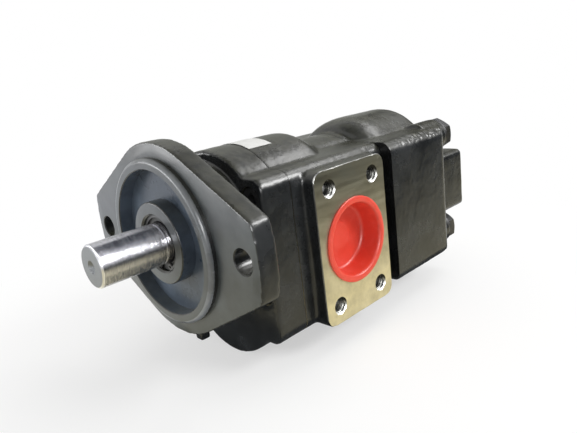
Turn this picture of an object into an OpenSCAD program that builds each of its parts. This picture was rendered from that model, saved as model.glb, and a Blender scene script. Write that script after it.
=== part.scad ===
// Tandem external gear pump: two gear sections on one shaft line, with a shared suction port.
// X runs along the shaft from the mounting face to the rear, Y runs across and Z points up.
// The origin is the centre of the pilot, in the plane of the mounting face.

/* [Mounting flange] */
// Radius of the locating pilot
pilot_r = 50.8; // [48:0.1:53]
// Height of the pilot in front of the mounting face
pilot_h = 5; // [3:0.5:7]
// Radius of the turned recess inside the pilot
recess_r = 44.4; // [40:0.1:46]
// Depth of the recess behind the mounting face
recess_depth = 4; // [2:0.5:6]
// Thickness of the flange
flange_t = 12.7; // [10:0.1:18]
// Radius of the round middle of the flange
flange_r = 59.5; // [56:0.5:62]
// Distance between the two mounting holes
ear_hole_spacing = 146; // [140:0.5:152]
// Radius of the mounting holes
ear_hole_r = 7.15; // [6:0.05:8.5]
// Iron outside the mounting holes, measured to the ear's end
ear_margin = 13; // [11:0.5:16]
// Slope of the straight edges that run from the round middle to the ears
ear_slope = 29.2; // [26:0.1:34]
// Radius of the ear corners
ear_corner_r = 5; // [3:0.5:7]
// Outer radius of the raised boss round the shaft seal
boss_r = 25.3; // [23:0.1:30]
// Width of the small cast tab under the flange
tab_w = 8; // [6:0.5:12]
// Reach of the tab below the flange's round middle
tab_drop = 11; // [8:0.5:14]
// Thickness of the tab
tab_t = 7; // [6:0.5:10]

/* [Castings] */
// Radius of the neck between the flange and the body
neck_r = 40; // [36:0.5:44]
// Length of the neck
neck_len = 23.3; // [18:0.1:30]
// Length of the front cover's body, behind the neck
cover_len = 23; // [20:0.5:30]
// Outer radius of the casting round the drive gears
barrel_r = 47.3; // [44:0.1:50]
// Outer radius of the casting round the driven gears
lower_barrel_r = 45; // [42:0.1:48]
// Width of the body
body_w = 102; // [98:0.5:110]
// Height of the body's flat shoulders above the shaft axis
body_top = 32.5; // [31:0.5:36]
// Depth of the body's flat underside below the shaft axis
body_drop = 73; // [71:0.5:80]
// Radius of the body's long edges
body_corner_r = 8.5; // [6:0.5:12]
// Length of the front barrel's full radius behind the cover joint
front_barrel_len = 41; // [34:0.5:48]
// Depth that the waist between the barrels lies below them
waist_fall = 8.8; // [6:0.1:12]
// Length over which the front barrel falls to the waist
barrel_fall = 20; // [12:0.5:24]
// Distance from the rear joint to the start of the rear barrel's rise
rise_start = 6; // [0:0.5:9]
// Length over which the rear barrel rises from the waist
barrel_rise = 22; // [16:0.5:30]
// Radius of the rear barrel's back edge
barrel_edge_r = 5; // [2:0.5:8]
// Width of the rear housing
rear_w = 119; // [112:0.5:130]
// Depth of the rear housing's flat underside below the shaft axis
rear_drop = 72; // [70:0.5:78]
// Radius of the rear housing's long edges
rear_corner_r = 9; // [6:0.5:14]
// Radius of the rear housing's lower back corner
rear_heel_r = 14; // [8:0.5:20]
// Radius of the rear housing's lower front corner
rear_toe_r = 6; // [2:0.5:8]
// Thickness of the wall between the two gear sections
partition_t = 21.5; // [18:0.5:30]
// Thickness of the rear housing's closed end
end_wall_t = 21.5; // [18:0.5:30]

/* [Gears] */
// Distance between the drive axis and the driven axis
gear_centres = 45; // [44:0.1:46]
// Number of teeth on every gear
teeth = 12; // [10:1:14]
// Pressure angle of the teeth
pressure_angle = 28; // [25:0.5:30]
// Height of a tooth above the pitch circle
addendum = 3.7; // [3:0.1:4]
// Depth of a tooth space below the pitch circle
dedendum = 4.3; // [4.1:0.1:5]
// Width of the front gears
front_gear_w = 24; // [16:0.5:34]
// Width of the rear gears
rear_gear_w = 16; // [12:0.5:26]
// Play between the meshing tooth flanks
flank_gap = 0.2; // [0.1:0.05:0.4]
// Running gap between the tooth tips and the housing
tip_gap = 0.3; // [0.1:0.05:0.5]
// Running gap between a gear and a bearing block
face_gap = 0.15; // [0.05:0.05:0.3]

/* [Shaft] */
// Radius of the shaft extension
shaft_r = 12.7; // [11:0.1:14]
// Length of the shaft in front of the mounting face
shaft_len = 46; // [38:0.5:60]
// Chamfer on the shaft's end
shaft_chamfer = 1.2; // [0.5:0.1:2]
// Radius of the centre hole in the shaft's end
centre_hole_r = 4; // [2.5:0.1:5]
// Distance from the mounting face to the shoulder at the seal land
shoulder_x = 7; // [6:0.5:9]
// Radius of the drive shaft's seal land and journals
drive_journal_r = 12.4; // [10.5:0.1:12.6]
// Width of the keyway
key_w = 6.35; // [5:0.05:8]
// Distance from the shaft axis to the keyway's floor
key_floor = 9.1; // [8:0.1:9.6]
// Length of the keyway
key_len = 30; // [20:0.5:31]
// Distance from the shaft's end to the keyway
key_start = 4; // [3:0.5:6]
// Outer radius of the splined tails
spline_r = 9; // [8:0.1:9.4]
// Depth of the splines
spline_depth = 1.6; // [1:0.1:2]
// Number of splines
splines = 14; // [10:1:18]

/* [Bearings] */
// Width of a bearing block in the front section
front_block_w = 21.6; // [18:0.1:26]
// Width of a bearing block in the rear section
rear_block_w = 18; // [15:0.1:24]
// Radius of the driven and rear journals
journal_r = 10; // [9.6:0.1:11.5]
// Wall of the plain bearing bushes
bush_wall = 1.75; // [1.25:0.25:2.5]
// Radial running clearance of the journals
journal_gap = 0.04; // [0.02:0.01:0.08]
// Radial clearance of the blocks in their bores
block_gap = 0.1; // [0.05:0.05:0.2]
// Gap behind each bearing block
back_gap = 0.3; // [0.2:0.05:0.5]
// Outer radius of the coupling sleeve
sleeve_r = 13.5; // [12.5:0.1:14]
// Radial clearance round the coupling sleeve
sleeve_gap = 0.7; // [0.4:0.1:1]

/* [Seals] */
// Radial height of the shaft seals, from the shaft to their bore
seal_section = 5; // [4.5:0.1:6]
// Width of a shaft seal
seal_w = 7; // [6:0.5:8]
// Distance from the boss face to the retaining ring
ring_inset = 2; // [1.5:0.25:3]
// Thickness of the retaining ring
ring_t = 1.2; // [1:0.1:1.5]
// Radial width of the retaining ring
ring_w = 2.6; // [2:0.1:3]
// Thickness of the joint rings between the castings
joint_ring_t = 2.6; // [2:0.1:3]
// Distance from the body's side to the middle of the joint rings
joint_ring_margin = 17.5; // [17:0.1:19]
// Iron left outside the pressure seals
block_seal_inset = 2.2; // [1.8:0.1:3]
// Thickness of the pressure seals in the bearing blocks
block_seal_t = 2; // [1.5:0.1:2.5]
// Width of the pressure seals
block_seal_w = 2.4; // [2:0.1:3]

/* [Suction pad] */
// Length of the suction pad along the shaft
pad_len = 69; // [66:0.5:76]
// Height of the suction pad
pad_h = 102; // [98:0.5:108]
// Height of the pad's face above the rear housing's side
pad_rise = 0.5; // [0.5:0.5:5]
// Radius of the pad's corners
pad_corner_r = 7; // [5:0.5:12]
// Distance from the middle of the front gears to the middle of the pad
pad_shift = 10.4; // [8:0.1:12]
// Radius of the suction port
suction_r = 25.4; // [22:0.1:26]
// Distance between the pad's holes along the shaft
pad_hole_dx = 42.9; // [42:0.1:44]
// Distance between the pad's holes across the shaft
pad_hole_dz = 77.8; // [76:0.1:80]
// Radius of the pad's tapped holes
pad_hole_r = 5.1; // [4:0.1:5.5]
// Depth of the pad's tapped holes
pad_hole_depth = 18; // [14:0.5:20]
// Depth of the wide part of the suction port
suction_depth = 24; // [20:0.5:28]

/* [Outlets] */
// Length of the front outlet pad along the shaft
outlet_len = 52; // [48:0.5:58]
// Height of the front outlet pad
outlet_h = 76; // [70:0.5:84]
// Height of the outlet pad's face above the rear housing's side
outlet_rise = 0.5; // [0.5:0.5:5]
// Radius of the front outlet port
outlet_r = 12.7; // [10:0.1:14]
// Distance between the outlet pad's holes along the shaft
outlet_hole_dx = 26.2; // [26:0.1:30]
// Distance between the outlet pad's holes across the shaft
outlet_hole_dz = 52.4; // [50:0.1:56]
// Radius of the outlet pad's tapped holes
outlet_hole_r = 4.25; // [3.5:0.05:5]
// Depth of the outlet pad's tapped holes
outlet_hole_depth = 17; // [12:0.5:20]
// Width of the rear port boss
rear_boss_w = 106; // [100:0.5:112]
// Height of the rear port boss
rear_boss_h = 48; // [44:0.5:52]
// Length of the rear port boss
rear_boss_len = 32; // [24:0.5:40]
// Radius of the rear port boss's corners
rear_boss_corner_r = 4; // [2:0.5:8]
// Height of the rear boss's middle relative to the shaft axis
rear_boss_z = -16.25; // [-17.5:0.25:-15]
// Radius of the rear port's thread
rear_port_r = 15.6; // [12:0.1:17]
// Depth of the rear port's thread
rear_port_depth = 20; // [16:0.5:22]
// Distance from the gear line to the rear port
rear_port_y = 30; // [28:0.5:32]
// Radius of the galleries that link the ports and the gears
gallery_r = 5; // [3.5:0.1:5.5]
// Iron between the galleries and the gear bores
gallery_wall = 2; // [1:0.1:3]

/* [Fasteners] */
// Radius of the socket screws in the front cover
screw_r = 5; // [4:0.5:6]
// Distance from the body's side to the socket screws
screw_margin = 10.5; // [10:0.1:11]
// Distance from the body's top to the upper socket screws
screw_top_margin = 13.5; // [11:0.5:16]
// Height of the lower socket screws above the driven axis
screw_low_z = 7; // [0:0.5:7]
// Depth of the socket screws in the front housing
screw_grip = 15; // [10:0.5:17]
// Radius of the long rear bolts
bolt_r = 7; // [6:0.5:7]
// Width across the flats of the rear bolts' heads
bolt_flats = 22; // [19:0.5:24]
// Height of the rear bolts' heads
bolt_head_h = 8.8; // [7:0.1:10]
// Distance from the body's side to the rear bolts
bolt_margin = 9; // [8.5:0.5:9.5]
// Distance from the body's top to the upper rear bolts
bolt_top_margin = 9.5; // [9:0.5:11]
// Depth of the lower rear bolts below the driven axis
bolt_low_z = 10.5; // [8:0.5:14]
// Depth of the rear bolts in the front housing
bolt_grip = 15; // [10:0.5:16]
// Radius of the lugs round the rear bolts
lug_r = 13; // [12:0.5:15]
// Height of the lugs behind the rear face
lug_h = 6.5; // [1:0.5:9]
// Length of the lugs along the housing
lug_len = 26; // [16:0.5:40]
// Thickness of the washers
washer_t = 2.5; // [1.5:0.1:3]
// Radius of the dowel pins
dowel_r = 4; // [3:0.25:4.5]
// Length of the dowel pins
dowel_len = 14; // [10:0.5:18]

/* [Suction cap] */
// Width of the cap's lip outside the port
cap_lip_w = 3.1; // [2:0.1:5]
// Thickness of the cap's lip and walls
cap_wall = 1.6; // [1.2:0.1:2.5]
// Depth of the cap's cup in the port
cap_depth = 16; // [10:0.5:19]
// Taper of the cup's wall over its depth
cap_taper = 1.2; // [0.5:0.1:2]

/* [Hidden] */
$fn = 72;

iron = "#3b3e40";
bare_steel = "#b9bbbd";
dark_steel = "#4a4b4d";
bronze = "#b08a4e";
alloy = "#9fa2a3";
rubber = "#1f2022";
cap_red = "#e8432f";

// Places along the shaft
neck_x = flange_t;
front_x = neck_x + neck_len;
cover_joint_x = front_x + cover_len;
front_chamber_len = 2 * (front_block_w + back_gap + face_gap) + front_gear_w;
front_block_a_x = cover_joint_x + back_gap;
front_gear_x = front_block_a_x + front_block_w + face_gap;
front_block_b_x = front_gear_x + front_gear_w + face_gap;
front_chamber_end = cover_joint_x + front_chamber_len;
front_gear_mid = front_gear_x + front_gear_w / 2;
rear_joint_x = front_chamber_end + partition_t;
rear_chamber_len = 2 * (rear_block_w + back_gap + face_gap) + rear_gear_w;
rear_block_a_x = rear_joint_x + back_gap;
rear_gear_x = rear_block_a_x + rear_block_w + face_gap;
rear_block_b_x = rear_gear_x + rear_gear_w + face_gap;
rear_chamber_end = rear_joint_x + rear_chamber_len;
rear_gear_mid = rear_gear_x + rear_gear_w / 2;
rear_x = rear_chamber_end + end_wall_t;
lug_face_x = rear_x + lug_h;
boss_face_x = rear_x + rear_boss_len;

// Heights of the driven axis and of the line where the teeth meet
driven_z = -gear_centres;
mesh_z = driven_z / 2;
screw_y = body_w / 2 - screw_margin;
screw_z = body_top - screw_top_margin;
screw_bottom_z = driven_z + screw_low_z;
bolt_y = body_w / 2 - bolt_margin;
bolt_z = body_top - bolt_top_margin;
bolt_bottom_z = driven_z - bolt_low_z;

// Back of the tab and of the collar that carries it
tab_collar = 4.8;
tab_end_x = neck_x + tab_collar;

// Bevel at the mouths of the pads' tapped holes
pad_hole_bevel = 0.8;

// Radii that follow from the sizes above
pitch_r = gear_centres / 2;
tip_r = pitch_r + addendum;
root_r = pitch_r - dedendum;
base_r = pitch_r * cos(pressure_angle);
bore_r = tip_r + tip_gap;
drilling_start = bore_r / 3;
block_r = bore_r - block_gap;
drive_bush_r = drive_journal_r + journal_gap + bush_wall;
driven_bush_r = journal_r + journal_gap + bush_wall;
ear_reach = ear_hole_spacing / 2 + ear_margin;
seal_bore_r = drive_journal_r + seal_section;
joint_ring_r = body_w / 2 - joint_ring_margin;
pad_y = rear_w / 2 + pad_rise;
outlet_y = rear_w / 2 + outlet_rise;
gallery_y = sqrt(pow(bore_r + gallery_wall + gallery_r, 2) - pow(mesh_z, 2));
press = 0.02;

// Length by which a cut passes the faces that it opens, and by which joined shapes lie in each other
past = 1;
join = 0.01;

// Depth by which an arc and the line or arc that it runs into cross each other
arc_overlap = 0.02;

// Places and small sizes at the shaft seals, counted from the boss face
boss_x = -pilot_h;
ring_x = boss_x + ring_inset;
ring_groove = 1;
ring_play = 0.05;
outer_seal_x = ring_x + ring_t + 0.2;
inner_seal_x = outer_seal_x + seal_w + 0.4;
seal_bore_end = inner_seal_x + seal_w;
seal_case_t = 1.4;
lip_gap = 0.05;
lip_t = 1.6;
garter_r = 0.6;
garter_inset = 3;
garter_seat_gap = 0.03;

// Small sizes of the joint rings and of the splined joint
joint_ring_squeeze = 0.4;
joint_groove_play = 0.2;
spline_play = 0.1;
spline_end_gap = 0.5;
sleeve_end_gap = 1;
journal_end_gap = 1;
bush_inset = 0.5;
block_seal_play = 0.1;
dowel_end_gap = 0.2;

// Relief pockets in the bearing blocks
relief_r = 3;
relief_depth = 2;
relief_y = 8;

// Undercut that the seal land's grinding wheel runs out in
undercut_w = 1.5;
undercut_depth = 0.5;

// Sizes of the screws and bolts
screw_head_r = 1.6 * screw_r;
screw_head_h = 2 * screw_r;
socket_r = 0.92 * screw_r;
screw_head_clear = 1;
screw_seat_x = front_x + screw_head_h + screw_head_clear;
screw_tip_x = cover_joint_x + screw_grip;
bolt_tip_x = rear_joint_x - bolt_grip;
bolt_seat_x = lug_face_x + washer_t;
bolt_crown = 2;
washer_rim = 1.6;
washer_r = bolt_flats / 2 + washer_rim;
bolt_corner_r = bolt_flats / sqrt(3);
drill_gap = 0.5;
thread_gap = 0.02;
pad_x = front_gear_mid + pad_shift;
cap_play = 0.1;
port_bevel = 1.5;

// Cylinder along X from x0 to x1, at height z and side offset y
module x_rod(r, x0, x1, y = 0, z = 0) {
    translate([x0, y, z]) rotate([0, 90, 0]) cylinder(r = r, h = x1 - x0);
}

// Cone frustum along X from radius r0 at x0 to radius r1 at x1
module x_cone(r0, r1, x0, x1, y = 0, z = 0) {
    translate([x0, y, z]) rotate([0, 90, 0]) cylinder(r1 = r0, r2 = r1, h = x1 - x0);
}

// Cylinder along Y from y0 to y1, at x and z
module y_rod(r, y0, y1, x, z) {
    translate([x, y1, z]) rotate([90, 0, 0]) cylinder(r = r, h = y1 - y0);
}

// Solid along X from an outline drawn in the YZ plane
module x_prism(x0, x1) {
    translate([x0, 0, 0]) rotate([90, 0, 90]) linear_extrude(height = x1 - x0) children();
}

// Solid along Y from an outline drawn in the XZ plane
module y_prism(y0, y1) {
    translate([0, y1, 0]) rotate([90, 0, 0]) linear_extrude(height = y1 - y0) children();
}

// Solid turned about the X axis from an outline of radius against length
module x_turned(z = 0) {
    translate([0, 0, z]) rotate([0, 90, 0]) rotate_extrude() children();
}

// Rectangle from corner a to corner b, with rounded corners of true arcs
module rounded_rect(a, b, r) {
    translate([a[0] + r, a[1]]) square([b[0] - a[0] - 2 * r, b[1] - a[1]]);
    translate([a[0], a[1] + r]) square([b[0] - a[0], b[1] - a[1] - 2 * r]);
    for (x = [a[0] + r, b[0] - r]) {
        for (y = [a[1] + r, b[1] - r]) {
            translate([x, y]) circle(r = r);
        }
    }
}

// Two circles on the gear axes
module twin_circles(r) {
    circle(r = r);
    translate([0, driven_z]) circle(r = r);
}

// Racetrack round both gear axes
module racetrack(r) {
    twin_circles(r);
    translate([-r, driven_z]) square([2 * r, gear_centres]);
}

// Positions of four fasteners, mirrored across the gear line
module four_corners(y, z_high, z_low) {
    for (side = [-1, 1]) {
        for (z = [z_high, z_low]) {
            translate([0, side * y, z]) children();
        }
    }
}

// Positions of four pad holes about the pad's middle
module pad_corners(x, z, dx, dz) {
    for (i = [-1, 1]) {
        for (k = [-1, 1]) {
            translate([x + i * dx / 2, 0, z + k * dz / 2]) children();
        }
    }
}

// Outline of the two-bolt flange: round middle, straight tangents and ears with rounded ends
module flange_outline() {
    normal = [sin(ear_slope), cos(ear_slope)];
    centre_reach = ear_reach - ear_corner_r;
    centre_angle = 90 - ear_slope - acos((flange_r - ear_corner_r) / centre_reach);
    corner = centre_reach * [cos(centre_angle), sin(centre_angle)];
    tangent_mid = (flange_r - arc_overlap) * normal;
    tangent_ear = corner + (ear_corner_r - arc_overlap) * normal;
    ear_tip = ear_reach * [cos(centre_angle), sin(centre_angle)];
    circle(r = flange_r);
    for (side = [0, 1]) {
        mirror([side, 0]) {
            polygon([
                tangent_mid, tangent_ear, ear_tip, [ear_tip[0], -ear_tip[1]],
                [tangent_ear[0], -tangent_ear[1]], [tangent_mid[0], -tangent_mid[1]]
            ]);
            intersection() {
                circle(r = ear_reach - arc_overlap);
                polygon([[0, 0], 1.2 * ear_tip, [1.2 * ear_tip[0], -1.2 * ear_tip[1]]]);
            }
            for (end = [-1, 1]) {
                translate([corner[0], end * corner[1]]) circle(r = ear_corner_r);
            }
        }
    }
}

// Section of the body across the shaft, without its barrels
module body_section() {
    rounded_rect([-body_w / 2, -body_drop], [body_w / 2, body_top], body_corner_r);
}

// Cone frustum along Y from radius r0 at y0 to radius r1 at y1
module y_cone(r0, r1, y0, y1, x, z) {
    translate([x, y1, z]) rotate([90, 0, 0]) cylinder(r1 = r1, r2 = r0, h = y1 - y0);
}

// Tapped hole along Y with a bevelled mouth, entering a face at y from side s
module pad_hole(y, s, r, depth) {
    y0 = s < 0 ? y : y - depth;
    y1 = s < 0 ? y + depth : y;
    y_rod(r, y0, y1, 0, 0);
    if (s < 0) y_cone(r + pad_hole_bevel, r, y - join, y + pad_hole_bevel, 0, 0);
    if (s > 0) y_cone(r, r + pad_hole_bevel, y - pad_hole_bevel, y + join, 0, 0);
}

// Point on an involute tooth flank at radius r, on the side given by s
function flank(r, s, half) =
    let (turn = acos(base_r / r), swing = tan(turn) * 180 / PI - turn)
    r * [cos(s * (half - swing)), sin(s * (half - swing))];

// Outline of one gear tooth, from the middle of one space to the next
function tooth(half) =
    let (
        low_r = max(base_r, root_r) + join,
        steps = 5,
        radii = [for (i = [0:steps]) low_r + (tip_r - low_r) * i / steps],
        foot = half + 1.5
    )
    concat(
        [root_r * [cos(-foot), sin(-foot)]],
        [for (i = [0:steps]) flank(radii[i], -1, half)],
        [for (i = [0:steps]) flank(radii[steps - i], 1, half)],
        [root_r * [cos(foot), sin(foot)]]
    );

// Outline of a whole gear
module gear_outline() {
    gap_angle = flank_gap / 2 / pitch_r * 180 / PI;
    half = 90 / teeth + tan(pressure_angle) * 180 / PI - pressure_angle - gap_angle / 2;
    outline = tooth(half);
    polygon([
        for (i = [0:teeth - 1])
            for (p = outline)
                let (a = i * 360 / teeth)
                [p[0] * cos(a) - p[1] * sin(a), p[0] * sin(a) + p[1] * cos(a)]
    ]);
}

// Outline of the splined tails, grown by a clearance for the sleeve's bore
module spline_outline(grow = 0) {
    outer = spline_r + grow;
    inner = spline_r - spline_depth + grow;
    pitch = 360 / splines;
    polygon([
        for (i = [0:splines - 1])
            for (p = [[inner, -0.32], [outer, -0.2], [outer, 0.2], [inner, 0.32]])
                let (a = (i + p[1]) * pitch)
                [p[0] * cos(a), p[0] * sin(a)]
    ]);
}

// Toothed part of a gear, turned by half a tooth pitch when half_turn is 1
module gear_body(x, w, z, half_turn) {
    translate([0, 0, z]) x_prism(x, x + w) rotate(half_turn * 180 / teeth) gear_outline();
}

// Front cover: flange, pilot, neck and the plate that closes the front gear section
module front_cover() {
    color(iron) difference() {
        union() {
            x_prism(0, flange_t) flange_outline();
            x_rod(neck_r, neck_x - join, front_x + join);
            difference() {
                x_rod(pilot_r, -pilot_h, flange_t);
                x_rod(recess_r, -pilot_h - past, recess_depth);
            }
            x_rod(boss_r, -pilot_h, flange_t);
            x_prism(front_x, cover_joint_x) {
                body_section();
                circle(r = barrel_r);
                translate([0, driven_z]) circle(r = lower_barrel_r);
            }
            flange_tab();
        }
        for (side = [-1, 1]) {
            x_rod(ear_hole_r, -past, flange_t + past, side * ear_hole_spacing / 2, 0);
        }
        difference() {
            x_rod(recess_r, -pilot_h - past, recess_depth);
            x_rod(boss_r, -pilot_h - 2 * past, recess_depth + past);
        }
        x_rod(seal_bore_r, -pilot_h - past, seal_bore_end);
        x_cone(seal_bore_r + ring_groove, seal_bore_r, -pilot_h - join, -pilot_h + ring_groove);
        x_rod(seal_bore_r + ring_groove, ring_x - ring_play, ring_x + ring_t + ring_play);
        x_rod(drive_journal_r + drill_gap, seal_bore_end - past, cover_joint_x + past);
        four_corners(screw_y, screw_z, screw_bottom_z) {
            x_rod(screw_head_r + drill_gap, front_x - past, screw_seat_x);
            x_rod(screw_r + drill_gap, front_x, cover_joint_x + past);
        }
        dowel_holes(cover_joint_x);
        x_prism(cover_joint_x - joint_ring_t + joint_ring_squeeze, cover_joint_x + past) joint_groove();
    }
}

// Small cast tab under the flange, behind its mounting face
module flange_tab() {
    x0 = tab_end_x - tab_t;
    root_h = flange_r - neck_r;
    translate([x0, -tab_w / 2, -flange_r - tab_drop]) cube([tab_t, tab_w, tab_drop + past]);
    x_rod(neck_r + past, neck_x - past, tab_end_x);
    translate([x0, -tab_w / 2, -flange_r]) cube([tab_t, tab_w, root_h]);
}

// Holes for the dowel pins in the joint at x
module dowel_holes(x) {
    for (side = [-1, 1]) {
        reach = dowel_len / 2 + dowel_end_gap;
        x_rod(dowel_r, x - reach, x + reach, side * bolt_y, mesh_z);
    }
}

// Groove for a joint ring
module joint_groove() {
    half_w = joint_ring_t / 2 + joint_groove_play;
    difference() {
        racetrack(joint_ring_r + half_w);
        racetrack(joint_ring_r - half_w);
    }
}

// Radius of a rear barrel of radius r at a share s of its rise
function rise(r, s) = r - waist_fall * (1 - sqrt(1 - (1 - s) * (1 - s)));

// Front gear housing with the suction pad, the front outlet pad and the wall between the sections
module front_housing() {
    fall_end = cover_joint_x + front_barrel_len + barrel_fall;
    color(iron) difference() {
        union() {
            x_prism(cover_joint_x, rear_joint_x) {
                body_section();
                circle(r = barrel_r - waist_fall);
                translate([0, driven_z]) circle(r = lower_barrel_r - waist_fall);
            }
            x_turned(0) front_barrel_profile(barrel_r, fall_end);
            x_turned(driven_z) front_barrel_profile(lower_barrel_r, fall_end);
            y_prism(-pad_y, 0) suction_pad_outline();
            y_prism(0, outlet_y) outlet_pad_outline();
        }
        x_prism(cover_joint_x - past, front_chamber_end) twin_circles(bore_r);
        x_rod(sleeve_r + sleeve_gap, front_chamber_end - past, rear_joint_x + past);
        suction_passages();
        front_outlet_passages();
        four_corners(screw_y, screw_z, screw_bottom_z) {
            x_rod(screw_r + thread_gap, cover_joint_x - past, screw_tip_x + past);
        }
        four_corners(bolt_y, bolt_z, bolt_bottom_z) {
            x_rod(bolt_r + thread_gap, bolt_tip_x - past, rear_joint_x + past);
        }
        dowel_holes(cover_joint_x);
        dowel_holes(rear_joint_x);
    }
}

// Profile of the front barrel, radius against length, with its smooth fall to the waist
module front_barrel_profile(r, fall_end) {
    steps = 8;
    rotate(90) polygon(concat(
        [[cover_joint_x, 0], [cover_joint_x, -r]],
        [for (i = [0:steps])
            let (s = i / steps)
            [fall_end - barrel_fall * (1 - s), -r + waist_fall * (1 - cos(180 * s)) / 2]],
        [[fall_end, 0]]
    ));
}

// Outline of the suction pad in the XZ plane
module suction_pad_outline() {
    rounded_rect(
        [pad_x - pad_len / 2, mesh_z - pad_h / 2],
        [pad_x + pad_len / 2, mesh_z + pad_h / 2],
        pad_corner_r
    );
}

// Outline of the front outlet pad in the XZ plane
module outlet_pad_outline() {
    rounded_rect(
        [front_gear_mid - outlet_len / 2, mesh_z - outlet_h / 2],
        [front_gear_mid + outlet_len / 2, mesh_z + outlet_h / 2],
        pad_corner_r
    );
}

// Suction port, its holes and the galleries to both gear pairs
module suction_passages() {
    port_end = -pad_y + suction_depth;
    y_rod(suction_r, -pad_y - past, port_end, pad_x, mesh_z);
    y_rod(front_gear_w / 2 - past, port_end - past, -drilling_start, front_gear_mid, mesh_z);
    x_rod(gallery_r, front_gear_mid, rear_joint_x + past, -gallery_y, mesh_z);
    y_rod(gallery_r, port_end - past, -gallery_y, pad_x + suction_r - gallery_r - past, mesh_z);
    pad_corners(pad_x, mesh_z, pad_hole_dx, pad_hole_dz) {
        pad_hole(-pad_y, -1, pad_hole_r, pad_hole_depth);
    }
}

// Front outlet port and its holes
module front_outlet_passages() {
    throat_r = front_gear_w / 2 - 2 * past;
    y_rod(outlet_r, bore_r, outlet_y + past, front_gear_mid, mesh_z);
    y_rod(throat_r, drilling_start, bore_r + past, front_gear_mid, mesh_z);
    pad_corners(front_gear_mid, mesh_z, outlet_hole_dx, outlet_hole_dz) {
        pad_hole(outlet_y, 1, outlet_hole_r, outlet_hole_depth);
    }
}

// Rear gear housing with its closed end, bolt lugs and port boss
module rear_housing() {
    color(iron) difference() {
        union() {
            rear_block();
            x_turned(0) rear_barrel_profile(barrel_r);
            x_turned(driven_z) rear_barrel_profile(lower_barrel_r);
            four_corners(bolt_y, bolt_z, bolt_bottom_z) {
                x_rod(lug_r, lug_face_x - lug_len, lug_face_x);
            }
            x_prism(rear_x - past, boss_face_x) rear_boss_outline();
        }
        x_prism(rear_joint_x - past, rear_chamber_end) twin_circles(bore_r);
        four_corners(bolt_y, bolt_z, bolt_bottom_z) {
            x_rod(bolt_r + drill_gap, rear_joint_x - past, lug_face_x + past);
        }
        rear_passages();
        dowel_holes(rear_joint_x);
        x_prism(rear_joint_x - past, rear_joint_x + joint_ring_t - joint_ring_squeeze) joint_groove();
    }
}

// Block of the rear housing, cut to its side profile with the rounded heel
module rear_block() {
    half = rear_w / 2;
    intersection() {
        x_prism(rear_joint_x, rear_x) {
            rounded_rect([-half, -rear_drop], [half, body_top], rear_corner_r);
        }
        y_prism(-half - past, half + past) rear_side_profile();
        x_plan_cut();
    }
}

// Side profile of the rear block, with its two lower corners rounded
module rear_side_profile() {
    heel_z = -rear_drop + rear_heel_r;
    toe_z = -rear_drop + rear_toe_r;
    flat_x = rear_joint_x + rear_toe_r;
    translate([rear_joint_x, heel_z]) square([rear_x - rear_joint_x, body_top + past - heel_z]);
    translate([rear_joint_x, toe_z]) square([flat_x - rear_joint_x, heel_z - toe_z]);
    translate([flat_x, -rear_drop]) square([rear_x - rear_heel_r - flat_x, heel_z + rear_drop]);
    translate([rear_x - rear_heel_r, heel_z]) circle(r = rear_heel_r);
    translate([flat_x, toe_z]) circle(r = rear_toe_r);
}

// Plan of the rear block, with its upright back corners rounded
module x_plan_cut() {
    half = rear_w / 2;
    front = rear_joint_x - past;
    translate([0, 0, -rear_drop - past]) linear_extrude(height = rear_drop + body_top + 2 * past) {
        translate([front, -half]) square([rear_x - front - rear_corner_r, rear_w]);
        translate([front, -half + rear_corner_r]) square([rear_x - front, rear_w - 2 * rear_corner_r]);
        for (side = [-1, 1]) {
            translate([rear_x - rear_corner_r, side * (half - rear_corner_r)]) circle(r = rear_corner_r);
        }
    }
}

// Profile of the rear barrel, radius against length, with its rounded front
module rear_barrel_profile(r) {
    steps = 8;
    edge_steps = 4;
    start = rear_joint_x + rise_start;
    rotate(90) polygon(concat(
        [[rear_joint_x, 0], [rear_joint_x, waist_fall - r]],
        [for (i = [0:steps])
            let (s = 1 - cos(90 * i / steps))
            [start + barrel_rise * s, -rise(r, s)]],
        [for (i = [0:edge_steps])
            let (a = 90 * i / edge_steps)
            [rear_x - barrel_edge_r * (1 - sin(a)), -r + barrel_edge_r * (1 - cos(a))]],
        [[rear_x, 0]]
    ));
}

// Outline of the port boss on the rear end
module rear_boss_outline() {
    rounded_rect(
        [-rear_boss_w / 2, rear_boss_z - rear_boss_h / 2],
        [rear_boss_w / 2, rear_boss_z + rear_boss_h / 2],
        rear_boss_corner_r
    );
}

// Suction gallery, pressure gallery and threaded port of the rear section
module rear_passages() {
    x_rod(gallery_r, rear_joint_x - past, rear_gear_mid, -gallery_y, mesh_z);
    y_rod(gallery_r, -gallery_y, -drilling_start, rear_gear_mid, mesh_z);
    y_rod(gallery_r, drilling_start, rear_port_y, rear_gear_mid, mesh_z);
    port_end = boss_face_x - rear_port_depth;
    bevel_x = boss_face_x - port_bevel;
    x_rod(gallery_r, rear_gear_mid, port_end + past, rear_port_y, mesh_z);
    x_rod(rear_port_r, port_end, boss_face_x + past, rear_port_y, rear_boss_z);
    x_cone(rear_port_r, rear_port_r + port_bevel, bevel_x, boss_face_x + join, rear_port_y, rear_boss_z);
}

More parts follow.
